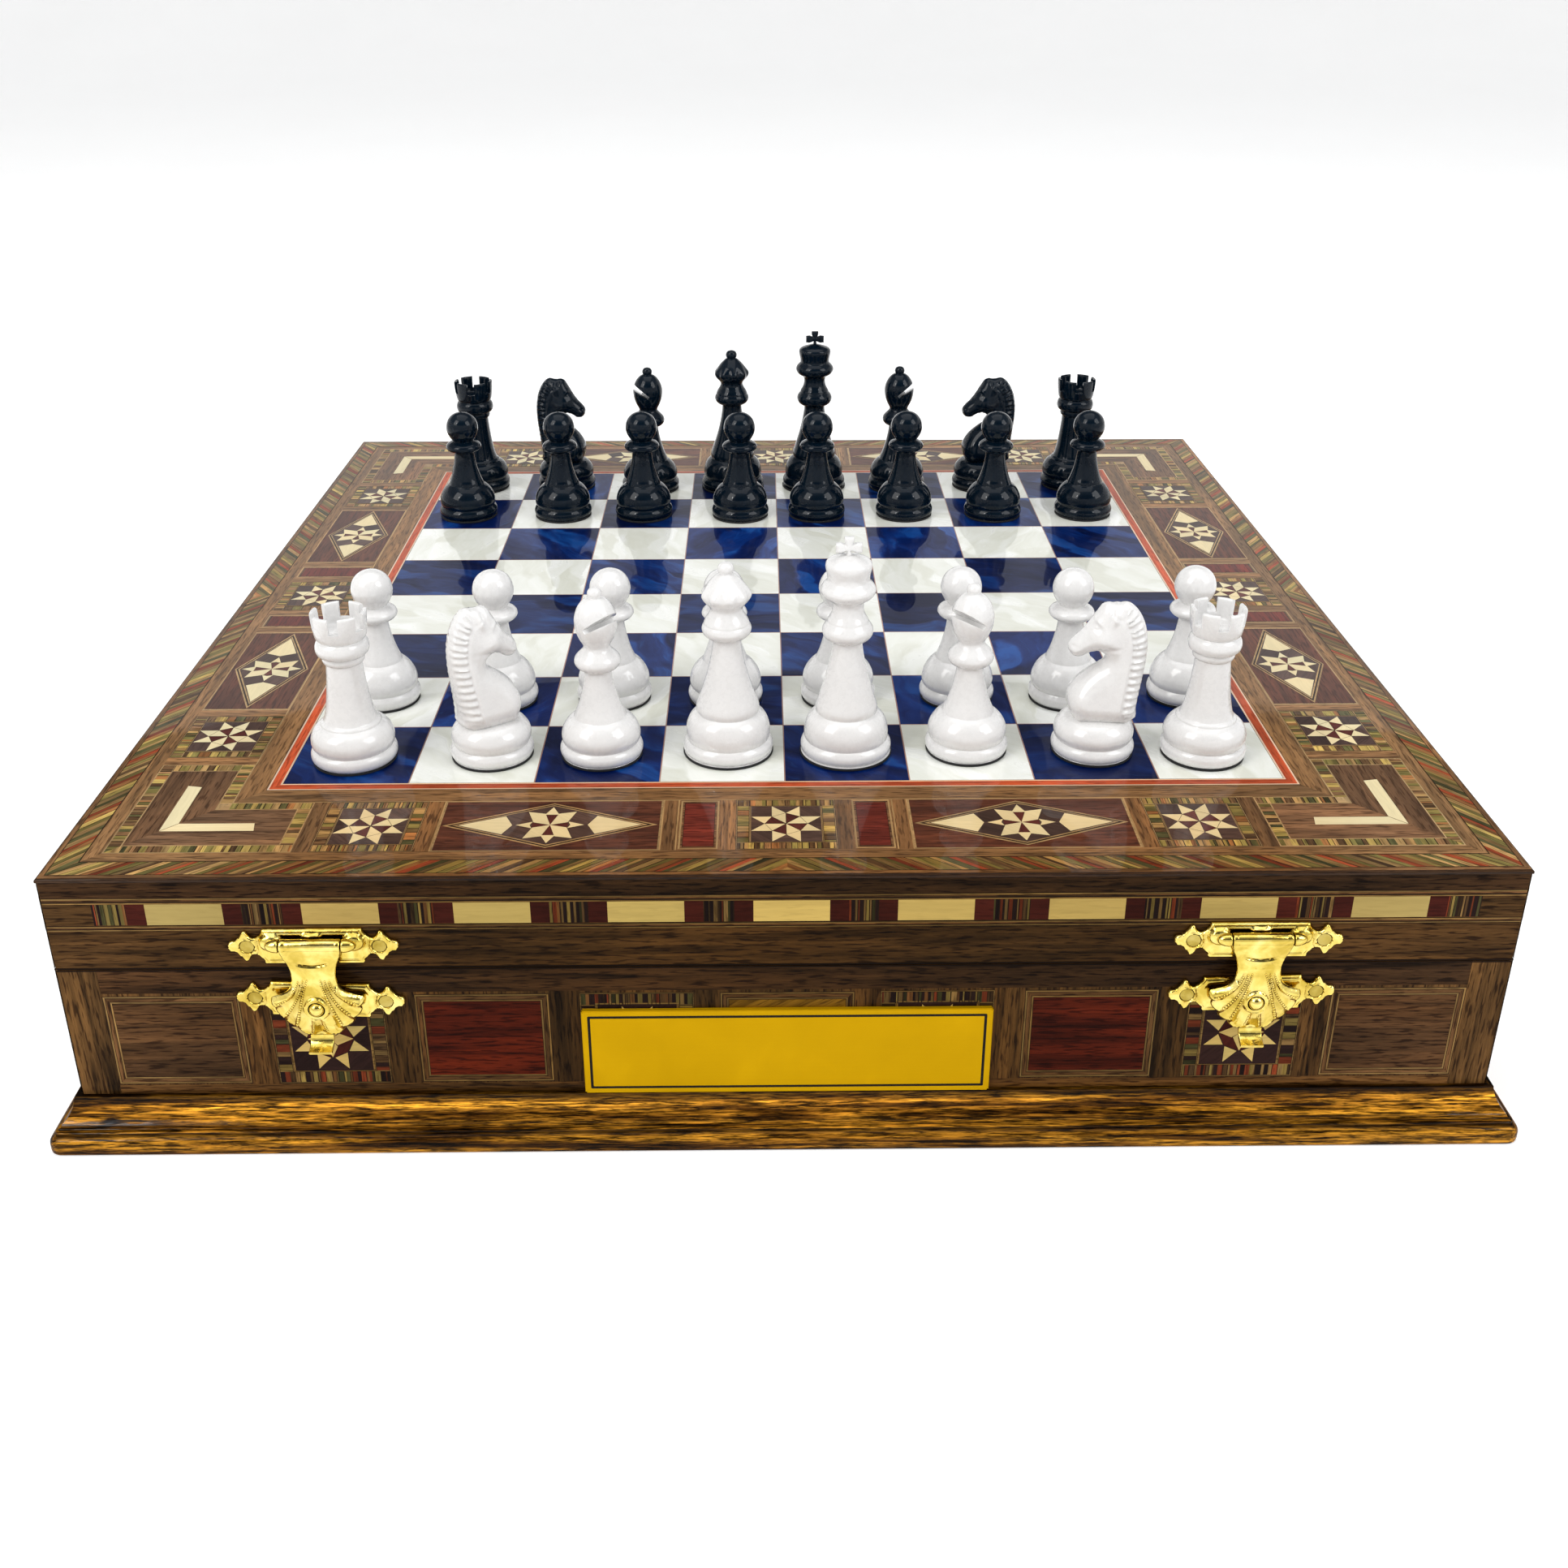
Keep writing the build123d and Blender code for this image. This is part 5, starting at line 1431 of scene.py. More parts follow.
def shell_leaf(cx, body, node):
    hz = CATCH_Z - PIN_Z
    hole = circle(0, hz, 1.70, 40)
    outline = shell_outline()

    def front(P, d, par):
        h = leaf_mid(P) + leaf_flutes(P) + 0.4 + edge_round(d, 0.34)
        # crescent groove under the knuckle with a soft lip, and a punched V below it
        arc = -4.25 + 0.055 * P[:, 0] ** 2
        mid = np.clip((3.6 - np.abs(P[:, 0])) / 1.2, 0, 1)
        h -= 0.34 * gauss(P[:, 1] - arc, 0.20) * mid
        h += 0.14 * gauss(P[:, 1] - arc + 0.55, 0.35) * mid
        vee = -6.35 + 0.50 * np.abs(P[:, 0])
        dash = 0.55 + 0.45 * np.cos(2 * math.pi * np.abs(P[:, 0]) / 0.8)
        h -= 0.16 * gauss(P[:, 1] - vee, 0.16) * (np.abs(P[:, 0]) < 3.1) * (np.abs(P[:, 0]) > 0.25) * dash
        h -= 0.10 * gauss(P[:, 1] + 1.75, 0.14)
        # raised collar round the stud hole
        q = np.hypot(P[:, 0], P[:, 1] - hz)
        flat = leaf_mid(np.column_stack([P[:, 0] * 0, P[:, 1] * 0 + hz])) + 0.55
        h = np.where(q < 2.6, h + (flat - h) * np.clip((2.6 - q) / 0.3, 0, 1), h)
        h += 0.20 * gauss(q - 2.35, 0.22)
        # rolled rim along the shoulders
        sh = (P[:, 1] < -8.8) & (P[:, 1] > -13.4) & (np.abs(P[:, 0]) > 4.0)
        h += 0.30 * gauss(d - 0.8, 0.42) * sh
        return h

    def back(P, d, par):
        return leaf_mid(P) - 0.4 - edge_round(d, 0.2)

    to_world = lambda u, v, h: (cx + u, PIN_Y - h, PIN_Z + v)
    parts = [place_relief("leaf_sheet", relief(outline, 0.24, front, back, [hole]), to_world, [GOLD], True, 55)]
    # rolled knuckle
    prof = [(0.66, -5.9), (1.1, -5.9), (1.30, -5.82), (1.38, -5.6), (1.38, -5.0), (1.33, -4.8), (1.38, -4.6),
            (1.38, 4.6), (1.33, 4.8), (1.38, 5.0), (1.38, 5.6), (1.30, 5.82), (1.1, 5.9), (0.66, 5.9), (0.66, -5.9)]
    parts.append(lathe("leaf_roll", prof, [GOLD], 40, (cx, PIN_Y, PIN_Z), "X"))
    # beads along the ribs
    verts, faces = [], []
    tmp = bmesh.new()
    bmesh.ops.create_icosphere(tmp, subdivisions=2, radius=1.0)
    sv = [v.co.copy() for v in tmp.verts]
    sf = [[v.index for v in f.verts] for f in tmp.faces]
    tmp.free()
    for line in RIB_LINES:
        seg = np.linalg.norm(np.diff(line, axis=0), axis=1)
        cum = np.concatenate([[0], np.cumsum(seg)])
        a = 0.3
        while a < cum[-1] - 0.45:
            u, v = np.interp(a, cum, line[:, 0]), np.interp(a, cum, line[:, 1])
            r = 0.18 + 0.12 * min(1, a / 8)
            if math.hypot(u, v - hz) > 2.75:
                P = np.array([[u, v]])
                h = float(leaf_mid(P)[0] + leaf_flutes(P)[0] + 0.4)
                n0 = len(verts)
                for q in sv:
                    verts.append(Vector((cx + u + q.x * r, PIN_Y - h + q.y * r, PIN_Z + v + q.z * r)) * MM)
                faces += [[n0 + i for i in f] for f in sf]
            a += 2.15 * r
    parts.append(new_object("leaf_beads", verts, faces, [GOLD], None, True, 60))
    # finger tab curling outwards
    tv, tf = [], []
    path = [(-20.6, 0.15), (-21.3, 0.2), (-21.9, 0.5), (-22.4, 1.0), (-22.8, 1.7), (-23.1, 2.4), (-23.3, 2.95)]
    half_w, th2 = 2.3, 0.38
    sec = []
    for i, (v, h) in enumerate(path):
        a = path[max(0, i - 1)]
        b = path[min(len(path) - 1, i + 1)]
        dv, dh = b[0] - a[0], b[1] - a[1]
        L = math.hypot(dv, dh)
        nv, nh = -dh / L, dv / L
        if nh < 0:
            nv, nh = -nv, -nh
        sec.append((v, h, nv, nh))
    prof2 = []
    for j in range(5):
        a = math.radians(90 * j / 4)
        prof2.append((half_w - 0.2 + 0.2 * math.sin(a), th2 - 0.2 + 0.2 * math.cos(a)))
    loop = [(-w, t) for w, t in prof2[::-1]] + prof2 + [(w, -t) for w, t in prof2[::-1]] + [(-w, -t) for w, t in prof2]
    m = len(loop)
    for v, h, nv, nh in sec:
        for w, t in loop:
            tv.append(Vector((cx + w, PIN_Y - (h + nh * t), PIN_Z + v + nv * t)) * MM)
    for i in range(len(sec) - 1):
        for j in range(m):
            k = (j + 1) % m
            tf.append([i * m + j, i * m + k, (i + 1) * m + k, (i + 1) * m + j])
    tf.append(list(range(m))[::-1])
    tf.append([(len(sec) - 1) * m + j for j in range(m)])
    tab = new_object("leaf_tab", tv, tf, [GOLD], None, True, 50)
    bm = bmesh.new()
    bm.from_mesh(tab.data)
    bmesh.ops.recalc_face_normals(bm, faces=bm.faces)
    bm.to_mesh(tab.data)
    bm.free()
    parts.append(tab)
    ob = join(parts, node + "_shell")
    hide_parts(node)
    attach(ob, body)


hasp_data, catch_data = plate_relief("hasp"), plate_relief("catch")
parts = []
for s in (-1, 1):
    cx = s * HASP_X
    parts.append(place_relief("p", hasp_data, plate_to_world(cx, PLATE_Z), [GOLD], True, 50))
    for e in (-1, 1):
        # ear that holds the pin, a short barrel that fades into the boss
        prof = [(0.0, 0.0), (1.15, 0.0), (1.33, 0.12), (1.38, 0.4), (1.3, 1.2), (1.05, 2.0), (0.6, 2.6), (0, 2.8)]
        ob = lathe("ear", soften(prof, 1), [GOLD], 32, (0, 0, 0), "X")
        for v in ob.data.vertices:
            v.co = Vector((cx * MM + e * (v.co.x + 6.05 * MM), v.co.y + PIN_Y * MM, v.co.z + PIN_Z * MM))
        bm = bmesh.new()
        bm.from_mesh(ob.data)
        bmesh.ops.recalc_face_normals(bm, faces=bm.faces)
        bm.to_mesh(ob.data)
        bm.free()
        parts.append(ob)
        parts.append(screw_head(cx, PLATE_Z, 0.0, e, 0))
ob = join(parts, "hasp_plates_cast")
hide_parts("hasp_plates")
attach(ob, "lid")

parts = []
TURN = {-1: -2.5, 1: 1.5}
for s in (-1, 1):
    cx = s * HASP_X
    parts.append(place_relief("p", catch_data, plate_to_world(cx, CATCH_Z, TURN[s]), [GOLD], True, 50))
    for e in (-1, 1):
        parts.append(screw_head(cx, CATCH_Z, TURN[s], e, 0))
ob = join(parts, "catch_plates_cast")
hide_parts("catch_plates")
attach(ob, "case")

parts = []
for s in (-1, 1):
    prof = [(1.45, 0.9), (1.2, 1.25), (1.0, 1.6), (1.0, 2.2)]
    prof += [(1.6 * math.cos(math.radians(a)), 3.7 + 1.6 * math.sin(math.radians(a))) for a in range(-50, 91, 10)]
    prof[-1] = (0.0, 5.3)
    parts.append(lathe("stud", prof, [GOLD], 40, (s * HASP_X, -CASE, CATCH_Z), "-Y"))
ob = join(parts, "catch_studs_turned")
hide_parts("catch_studs")
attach(ob, "case")

shell_leaf(-HASP_X, "hasp_left", "hasp_left")
shell_leaf(HASP_X, "hasp_right", "hasp_right")


# ---------------------------------------------------------------------------
# chessmen
# ---------------------------------------------------------------------------
FOOT = 0.55     # dark felt disc under each man
ROOK = [(8.4, 0.3), (8.95, 0.75), (9.25, 1.5), (9.2, 2.5), (8.85, 3.15), (8.5, 3.45), (8.45, 3.5), (8.8, 4.1), (8.95, 5.1),
        (8.8, 6.3), (8.25, 7.5), (7.4, 8.4), (6.6, 8.8), (6.45, 8.9), (6.4, 9.3), (5.9, 9.7), (5.75, 9.8), (5.25, 11.2), (4.75, 13.6),
        (4.3, 17.0), (3.95, 20.5), (3.8, 22.9), (3.85, 23.0), (4.35, 23.3), (4.5, 24.0), (4.35, 24.5), (4.3, 24.65), (5.2, 25.0),
        (5.65, 25.9), (5.65, 27.0), (5.3, 27.9), (4.9, 28.3), (4.85, 28.4), (5.25, 28.8), (5.5, 29.8), (5.75, 31.8),
        (5.9, 34.1), (5.8, 34.5), (5.5, 34.6), (5.1, 34.55), (4.9, 34.2), (4.75, 32.0), (4.6, 30.4), (4.1, 29.7), (0, 29.4)]
PAWN = [(7.8, 0.3), (8.4, 0.8), (8.7, 1.5), (8.65, 2.4), (8.25, 3.15), (7.95, 3.5), (7.9, 3.55), (8.2, 4.2), (8.3, 5.2), (8.05, 6.6),
        (7.3, 8.2), (6.2, 9.5), (5.3, 10.1), (5.2, 10.2), (5.05, 10.8), (4.5, 12.1), (3.8, 14.3), (3.2, 17.0),
        (2.9, 19.4), (2.95, 20.1), (3.0, 20.2), (4.3, 20.45), (5.1, 21.2), (5.25, 21.8), (4.9, 22.6), (3.9, 23.2),
        (3.1, 23.5), (3.05, 23.6), (3.7, 24.5), (4.35, 25.7), (4.68, 27.0), (4.68, 28.0), (4.35, 29.4), (3.65, 30.6),
        (2.6, 31.5), (1.3, 32.05), (0, 32.2)]
BISHOP = [(8.2, 0.3), (8.75, 0.8), (9.05, 1.5), (9.0, 2.4), (8.6, 3.15), (8.2, 3.5), (8.15, 3.55), (8.45, 4.2), (8.6, 5.2), (8.4, 6.4),
          (7.7, 7.8), (6.6, 9.0), (5.75, 9.5), (5.65, 9.6), (5.4, 10.3), (4.7, 11.9), (3.9, 14.4), (3.3, 17.0),
          (2.9, 19.4), (2.85, 20.3), (2.9, 20.4), (4.1, 20.8), (4.85, 21.7), (5.0, 22.5), (4.75, 23.4), (3.8, 24.4),
          (3.0, 25.2), (2.8, 25.8), (2.95, 26.3), (3.6, 27.4), (4.25, 29.0), (4.6, 30.9), (4.55, 32.4), (4.1, 34.0),
          (3.3, 35.4), (2.3, 36.4), (1.5, 36.75), (1.3, 36.8), (1.45, 37.2), (1.55, 37.7), (1.4, 38.3), (1.0, 38.75),
          (0.5, 38.95), (0, 39.0)]
QUEEN = [(8.9, 0.3), (9.5, 0.8), (9.85, 1.5), (9.8, 2.5), (9.35, 3.3), (9.0, 3.65), (8.95, 3.7), (9.15, 4.4), (9.2, 5.6), (8.9, 7.2),
         (8.2, 8.7), (7.25, 9.6), (6.8, 9.85), (6.75, 9.95), (6.9, 10.6), (6.8, 11.5), (6.35, 12.8), (5.5, 15.1), (4.4, 18.6),
         (3.55, 22.2), (3.05, 25.4), (3.0, 26.9), (3.05, 27.0), (4.3, 27.4), (5.1, 28.2), (5.35, 29.1), (5.15, 29.9), (4.8, 30.4),
         (4.85, 30.6), (4.45, 31.5), (3.8, 32.5), (3.45, 33.3), (3.45, 33.9), (3.9, 34.6), (4.8, 35.5), (5.4, 36.5), (5.4, 37.2),
         (5.05, 37.8), (4.4, 38.6), (3.7, 39.5), (2.8, 40.5), (1.9, 41.3), (1.45, 41.55), (1.45, 41.65), (1.7, 42.2), (1.72, 42.8),
         (1.45, 43.5), (0.8, 43.9), (0, 44.0)]
KING = [(8.95, 0.3), (9.55, 0.8), (9.9, 1.5), (9.85, 2.6), (9.4, 3.4), (9.05, 3.75), (9.0, 3.8), (9.15, 4.5), (9.15, 5.7), (8.85, 7.3),
        (8.05, 8.8), (7.1, 9.7), (6.65, 9.95), (6.6, 10.05), (6.75, 10.7), (6.65, 11.6), (6.2, 12.9), (5.5, 15.2), (4.5, 18.6),
        (3.7, 22.2), (3.2, 25.2), (3.15, 26.3), (3.2, 26.4), (4.4, 26.9), (5.25, 27.8), (5.5, 28.9), (5.25, 29.8), (4.65, 30.6),
        (4.4, 30.9), (4.35, 31.3), (3.7, 32.4), (3.35, 33.4), (3.25, 34.6), (3.45, 35.4), (4.0, 35.95), (4.1, 36.05), (5.2, 36.6),
        (5.8, 37.6), (5.85, 38.3), (5.45, 39.2), (4.65, 39.95), (4.45, 40.3), (4.5, 41.3), (4.85, 42.7), (4.95, 43.6), (4.7, 44.3),
        (4.0, 44.8), (2.4, 45.3), (1.0, 45.7), (0, 45.8)]
KNIGHT_FOOT = [(8.2, 0.3), (8.75, 0.8), (9.05, 1.5), (9.0, 2.4), (8.6, 3.15), (8.2, 3.5), (8.15, 3.55), (8.5, 4.2), (8.7, 5.2),
               (8.5, 6.4), (7.8, 7.6), (6.9, 8.4), (6.3, 8.7), (4.0, 9.1), (0, 9.3)]
# +x is the mane side; the crest leans back past the foot and ends in a small free tip above it
HORSE = [(5.9, 7.4), (8.2, 8.9), (8.9, 9.6), (8.6, 10.8), (8.8, 13.5), (9.4, 18.0), (9.9, 22.5), (9.9, 26.5), (9.1, 30.3),
         (7.6, 33.2), (5.9, 34.9), (4.6, 35.3), (3.5, 34.9), (2.3, 34.8), (1.0, 35.1), (-0.3, 34.6), (-1.3, 33.0),
         (-2.6, 30.8), (-4.2, 28.4), (-6.0, 26.7), (-6.9, 25.5), (-6.9, 24.2), (-6.3, 23.1), (-5.2, 22.5), (-3.9, 22.6),
         (-2.9, 23.3), (-1.5, 24.0), (0.0, 24.0), (1.0, 23.3), (1.2, 22.3), (0.3, 21.2), (-2.0, 19.7), (-4.6, 17.4), (-6.2, 14.9),
         (-6.6, 12.8), (-6.2, 10.8), (-5.2, 9.0), (-4.4, 7.4)]


def boolean(ob, cutters, op="DIFFERENCE"):
    for c in cutters:
        m = ob.modifiers.new("b", "BOOLEAN")
        m.object = c
        m.operation = op
        m.solver = "EXACT"
    bpy.context.view_layer.update()
    dg = bpy.context.evaluated_depsgraph_get()
    me = bpy.data.meshes.new_from_object(ob.evaluated_get(dg))
    old = ob.data
    ob.modifiers.clear()
    ob.data = me
    bpy.data.meshes.remove(old)
    for c in cutters:
        bpy.data.objects.remove(c)
    return ob


def block(name, x0, x1, y0, y1, z0, z1, mats, rot=None, at=(0, 0, 0)):
    bm = bmesh.new()
    bmesh.ops.create_cube(bm, size=1.0)
    for v in bm.verts:
        v.co = Vector((x0 + (v.co.x + 0.5) * (x1 - x0), y0 + (v.co.y + 0.5) * (y1 - y0), z0 + (v.co.z + 0.5) * (z1 - z0)))
    if rot is not None:
        bmesh.ops.transform(bm, matrix=Matrix.Rotation(math.radians(rot), 4, "Y"), verts=bm.verts)
    for v in bm.verts:
        v.co = (v.co + Vector(at)) * MM
    me = bpy.data.meshes.new(name)
    bm.to_mesh(me)
    bm.free()
    for m in mats:
        me.materials.append(m)
    ob = bpy.data.objects.new(name, me)
    bpy.context.scene.collection.objects.link(ob)
    return ob


def bevel_mesh(ob, width, seg=3, angle=40):
    m = ob.modifiers.new("bv", "BEVEL")
    m.width = width * MM
    m.segments = seg
    m.limit_method = "ANGLE"
    m.angle_limit = math.radians(angle)
    m.harden_normals = False
    bpy.context.view_layer.update()
    dg = bpy.context.evaluated_depsgraph_get()
    me = bpy.data.meshes.new_from_object(ob.evaluated_get(dg))
    old = ob.data
    ob.modifiers.clear()
    ob.data = me
    bpy.data.meshes.remove(old)
    me.polygons.foreach_set("use_smooth", [True] * len(me.polygons))
    me.set_sharp_from_angle(angle=math.radians(50))
    return ob


def man_base(mat, prof, r0):
    body = lathe("body", [(0, FOOT)] + [(r0 - 0.5, FOOT)] + [p for p in soften(prof, 2) if p[1] >= FOOT], [mat], 72)
    felt = lathe("felt", [(0, 0.0), (r0 - 0.35, 0.0), (r0 - 0.25, 0.1), (r0 - 0.25, FOOT - 0.05), (0, FOOT)],
                 [BASE_FELT], 48)
    return body, felt


def make_rook(mat):
    body, felt = man_base(mat, ROOK, 9.2)
    cut = []
    for deg in (30, 90, 150):
        c = block("c", -9, 9, -1.1, 1.1, 31.1, 38, [mat])
        c.data.transform(Matrix.Rotation(math.radians(deg), 4, "Z"))
        cut.append(c)
    boolean(body, cut)
    bevel_mesh(body, 0.30, 3, 45)
    return join([body, felt], "rook_mesh")


def make_pawn(mat):
    return join(list(man_base(mat, PAWN, 8.7)), "pawn_mesh")


def make_bishop(mat):
    body, felt = man_base(mat, BISHOP, 9.1)
    c = block("c", -3.6, 3.6, -9, 9, -0.5, 0.5, [mat])
    for v in c.data.vertices:
        if v.co.x < 0:
            v.co.z *= 1.9                     # the slot opens outwards
    c.data.transform(Matrix.Translation(Vector((-3.6, 0, 32.4)) * MM) @ Matrix.Rotation(math.radians(36), 4, "Y"))
    boolean(body, [c])
    bevel_mesh(body, 0.26, 3, 45)
    return join([body, felt], "bishop_mesh")


def make_queen(mat):
    body, felt = man_base(mat, QUEEN, 10.1)
    for v in body.data.vertices:
        z = v.co.z / MM
        if 34.2 < z < 40.6:
            a = math.atan2(v.co.y, v.co.x)
            w = math.exp(-((z - 37.1) / 1.4) ** 2)
            f = 1 - 0.10 * w * (0.5 - 0.5 * math.cos(9 * a)) ** 1.5
            v.co.x *= f
            v.co.y *= f
    return join([body, felt], "queen_mesh")


CROSS = [(0.55, 0.0), (0.42, 1.2), (1.7, 0.72), (2.75, 0.85), (2.75, 2.75), (1.7, 2.9), (0.75, 2.55), (1.05, 3.6), (1.0, 4.2)]


def make_king(mat):
    body, felt = man_base(mat, KING, 10.3)
    out = [(x, z) for x, z in CROSS] + [(-x, z) for x, z in reversed(CROSS)]

    def h(P, d, par):
        return 0.42 + 0.45 * np.sqrt(np.clip(1 - (1 - np.clip(d / 0.55, 0, 1)) ** 2, 0, 1))
    data = relief(out, 0.22, h, lambda P, d, par: -h(P, d, par))
    cross = place_relief("cross", data, lambda u, v, w: (u, w, 45.5 + v), [mat], True, 60)
    return join([body, cross, felt], "king_mesh")


def horse_relief():
    out = smooth_closed(HORSE, 2)
    ring = resample(out, 0.3)
    back_edge = np.array([p for p in resample(HORSE[2:12], 0.2, False)])
    cum = np.concatenate([[0], np.cumsum(np.linalg.norm(np.diff(back_edge, axis=0), axis=1))])

    def h(P, d, par):
        x, z = P[:, 0], P[:, 1]
        # half thickness of the neck and head
        D = np.interp(z, [8, 12, 16, 20, 24, 28, 32, 36], [5.7, 5.6, 4.9, 4.2, 3.7, 3.5, 3.1, 2.4])
        muzzle = np.clip((-x - 1.0) / 4.5, 0, 1) * np.clip((z - 20) / 2.0, 0, 1)
        D = D * (1 - 0.30 * muzzle)
        R = np.minimum(D, 4.2)
        q = np.clip(d / R, 0, 1)
        y = D * np.sqrt(np.clip(1 - (1 - q) ** 2, 0, 1)) ** 0.9
        # mane: a fluted strip along the back edge
        best = np.full(len(P), 1e9)
        arc = np.zeros(len(P))
        for i in range(len(back_edge)):
            dd = np.linalg.norm(P - back_edge[i], axis=1)
            m = dd < best
            best[m] = dd[m]
            arc[m] = cum[i]
        w = 3.5
        strip = best < w
        depth = np.clip((w - best) / 0.5, 0, 1)
        y = np.where(strip, y - 0.28 * depth * np.clip(d / 1.0, 0, 1), y)
        wave = (0.5 + 0.5 * np.cos(2 * math.pi * arc / 1.65)) ** 1.6
        y = y + np.where(strip, (0.55 * wave - 0.18) * depth * np.clip(d / 0.8, 0.25, 1), 0)
        y = y - 0.30 * gauss(best - w, 0.28) * (z > 9.5)
        # ear, cheek, eye, nostril and mouth line
        def spot(cx, cz, rx, rz, amp, rot=0.0):
            c, s = math.cos(math.radians(rot)), math.sin(math.radians(rot))
            u, v = (x - cx) * c + (z - cz) * s, -(x - cx) * s + (z - cz) * c
            return amp * np.exp(-((u / rx) ** 2 + (v / rz) ** 2))
        y = y + spot(2.6, 33.0, 0.75, 2.0, 0.75, -12)         # ear
        y = y - spot(1.5, 32.6, 0.45, 1.6, 0.35, -12)
        y = y + spot(0.2, 27.2, 2.0, 2.3, 0.70, 20)           # cheek
        y = y - spot(-1.4, 30.2, 0.95, 0.65, 0.50, -35)       # eye socket
        y = y + spot(-1.45, 30.15, 0.42, 0.38, 0.45, -35)     # eye
        y = y + spot(-1.2, 31.4, 1.2, 0.4, 0.35, -40)         # brow
        y = y - spot(-5.9, 25.4, 0.42, 0.35, 0.45, 30)        # nostril
        y = y + spot(-5.6, 24.0, 1.0, 1.0, 0.30)              # lips
        y = y - spot(-5.4, 23.9, 1.7, 0.16, 0.40, 14)         # mouth
        y = y - spot(0.9, 25.0, 2.2, 0.45, 0.45, 10)          # under the jaw
        y = y + spot(-3.4, 13.2, 2.8, 3.0, 0.35)              # chest
        return np.clip(y, 0.02, None)

    return relief(out, 0.34, h, lambda P, d, par: -h(P, d, par))


HORSE_DATA = horse_relief()


def make_knight(mat, facing, narrow=1.0, off=0.0):
    body, felt = man_base(mat, KNIGHT_FOOT, 9.1)
    head = place_relief("head", HORSE_DATA, lambda u, v, w: (-facing * (u * narrow - off), w, v), [mat], True, 80)
    return join([body, head, felt], "knight_mesh")


def carve_out(node, mesh_ob, slot):
    """Stand a copy of the modelled man on the place of its construction node."""
    lo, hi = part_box(node)
    me = mesh_ob.data
    ob = bpy.data.objects.new(node + "_man", me)
    bpy.context.scene.collection.objects.link(ob)
    ob.location = ((lo.x + hi.x) / 2, (lo.y + hi.y) / 2, lo.z + 0.00002)
    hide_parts(node)
    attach(ob, node)
    return ob


for colour, mat, slot in (("white", W_ENAMEL, "white_enamel"), ("black", B_ENAMEL, "black_enamel")):
    models = {"rook": make_rook(mat), "bishop": make_bishop(mat), "queen": make_queen(mat), "king": make_king(mat),
              "pawn": make_pawn(mat), "knight_r": make_knight(mat, 1, 0.92, 0.7), "knight_l": make_knight(mat, -1)}
    for node in [n for n in NODES if n.startswith(colour + "_")]:
        kind = node.split("_")[1]
        if kind == "knight":
            kind = "knight_r" if node.endswith("_b") else "knight_l"
        ob = carve_out(node, models[kind], slot)
        turn = {"white_bishop_c": 140, "white_bishop_f": 40, "black_bishop_c": 15, "black_bishop_f": 165,
                "white_knight_b": 33, "white_knight_g": -6}.get(node, 0)
        ob.rotation_euler = (0, 0, math.radians(turn))
    for m in models.values():
        bpy.data.objects.remove(m)

# ---------------------------------------------------------------------------
# floor, light, camera
# ---------------------------------------------------------------------------
def backdrop():
    """Pale floor with low walls that sweep up all round, far from the object."""
    pts = [(0.0, 0.0), (2.6, 0.0)]
    for i in range(1, 11):
        a = math.radians(90 * i / 10)
        pts.append((2.6 + 0.9 * math.sin(a), 0.9 - 0.9 * math.cos(a)))
    pts.append((3.5, 1.7))
    vs, fs = [(0, 0, 0)], []
    n = 64
    for r, z in pts[1:]:
        for i in range(n):
            a = 2 * math.pi * i / n
            vs.append((r * math.cos(a), r * math.sin(a), z))
    for i in range(n):
        fs.append([0, 1 + i, 1 + (i + 1) % n])
    for k in range(len(pts) - 2):
        for i in range(n):
            j = (i + 1) % n
            a0 = 1 + k * n
            fs.append([a0 + i, a0 + n + i, a0 + n + j, a0 + j])
    ob = new_object("floor", vs, fs, [mat_floor()], None, True)


backdrop()


def area(name, loc, target, size, energy, color=(1, 1, 1), size_y=None):
    d = bpy.data.lights.new(name, "AREA")
    d.energy = energy
    d.color = color
    d.shape = "RECTANGLE"
    d.size = size
    d.size_y = size_y or size
    ob = bpy.data.objects.new(name, d)
    ob.location = loc
    ob.rotation_euler = (Vector(target) - Vector(loc)).to_track_quat("-Z", "Y").to_euler()
    bpy.context.scene.collection.objects.link(ob)
    return ob


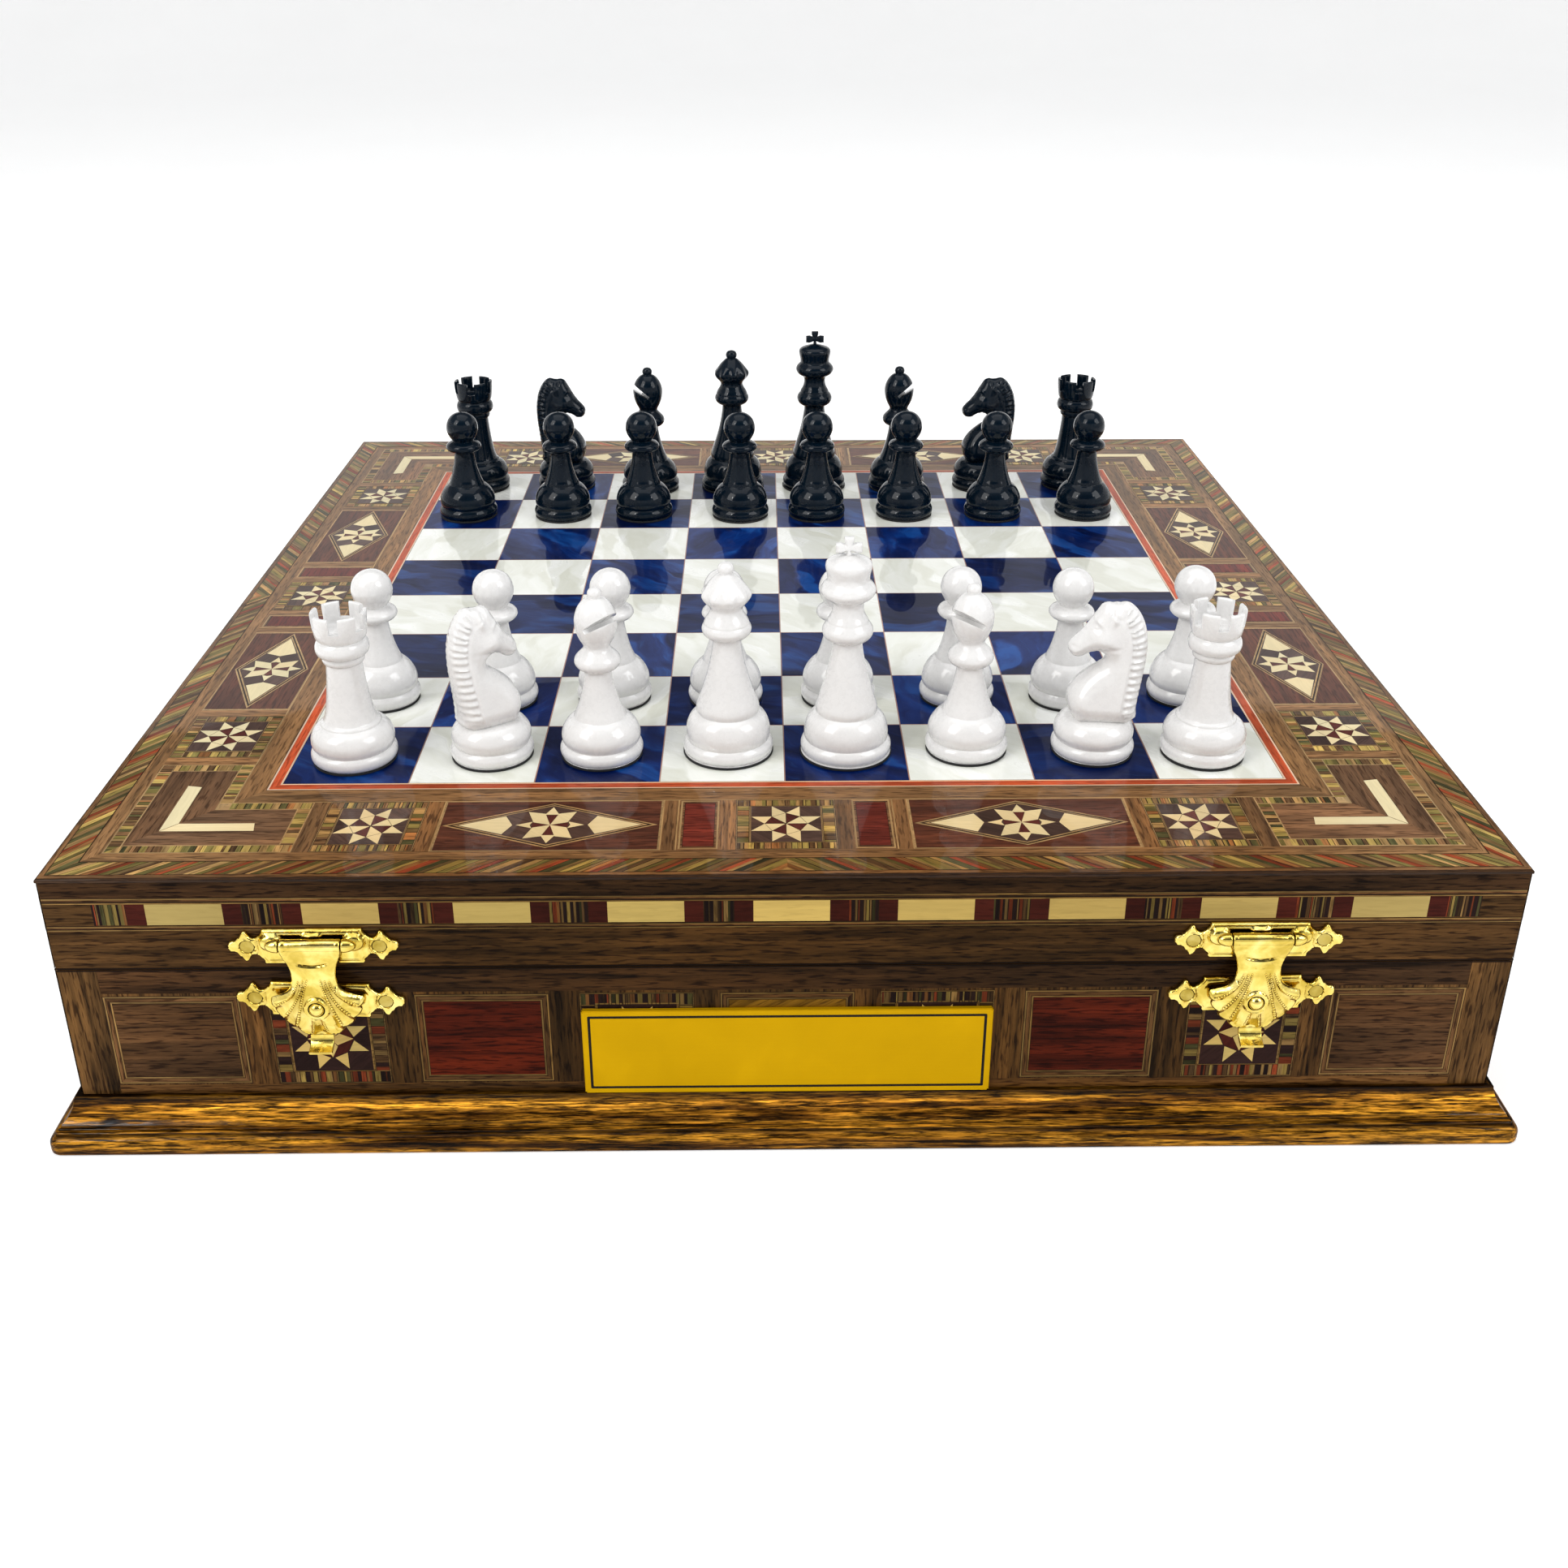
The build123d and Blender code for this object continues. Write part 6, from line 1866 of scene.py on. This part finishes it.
area("key", (-1.0, -0.8, 1.15), (0, 0, 0.03), 0.75, 13.0, (1.0, 0.985, 0.96), 1.0)
area("fill", (1.15, -0.6, 1.0), (0, 0, 0.03), 0.7, 9.0, (0.98, 0.99, 1.0), 0.9)
area("top", (0.0, 0.1, 1.7), (0, 0, 0), 1.7, 11.0)
area("spark_left", (-0.75, -0.85, 0.95), (0, 0, 0.08), 0.07, 1.3, (1, 1, 1), 0.20)
area("spark_right", (0.80, -0.80, 0.90), (0, 0, 0.08), 0.06, 0.8, (1, 1, 1), 0.18)
world = bpy.data.worlds.new("studio")
bpy.context.scene.world = world
world.use_nodes = True
wt = world.node_tree
bg = wt.nodes["Background"]


def wn(kind, inputs=None, **props):
    nd = wt.nodes.new(kind)
    for k, v in props.items():
        setattr(nd, k, v)
    for k, v in (inputs or {}).items():
        if hasattr(v, "is_output"):
            wt.links.new(v, nd.inputs[k])
        else:
            nd.inputs[k].default_value = v
    return nd.outputs[0]


sep = wt.nodes.new("ShaderNodeSeparateXYZ")
wt.links.new(wn("ShaderNodeTexCoord"), sep.inputs[0])
side = wn("ShaderNodeMapRange", {"Value": wn("ShaderNodeMath", {0: sep.outputs[0]}, operation="ABSOLUTE"),
                                 "From Min": 0.40, "From Max": 0.95, "To Min": 0.0, "To Max": 0.45},
          interpolation_type="SMOOTHSTEP")
over = wn("ShaderNodeMapRange", {"Value": sep.outputs[2], "From Min": 0.60, "From Max": 1.0, "To Min": 0.0,
                                 "To Max": 0.5}, interpolation_type="SMOOTHSTEP")
tot = wn("ShaderNodeMath", {0: wn("ShaderNodeMath", {0: side, 1: over}, operation="ADD"), 1: 0.08}, operation="ADD")
wt.links.new(tot, bg.inputs[1])
bg.inputs[0].default_value = (0.98, 0.99, 1.0, 1)

cam = bpy.data.cameras.new("camera")
cam.sensor_width = 36.0
cam.lens = 37.62
cam.shift_x = 0.0027
cam.shift_y = -0.0675
cam.clip_start = 0.01
cam_ob = bpy.data.objects.new("camera", cam)
bpy.context.scene.collection.objects.link(cam_ob)
pitch, yaw = math.radians(24.92), math.radians(0.68)
fwd = Vector((math.sin(yaw) * math.cos(pitch), math.cos(yaw) * math.cos(pitch), -math.sin(pitch)))
cam_ob.location = (-0.0047, -0.4115, 0.2277)
cam_ob.rotation_euler = fwd.to_track_quat("-Z", "Y").to_euler()
bpy.context.scene.camera = cam_ob
bpy.context.scene.view_settings.view_transform = "Standard"
bpy.context.scene.view_settings.look = "None"

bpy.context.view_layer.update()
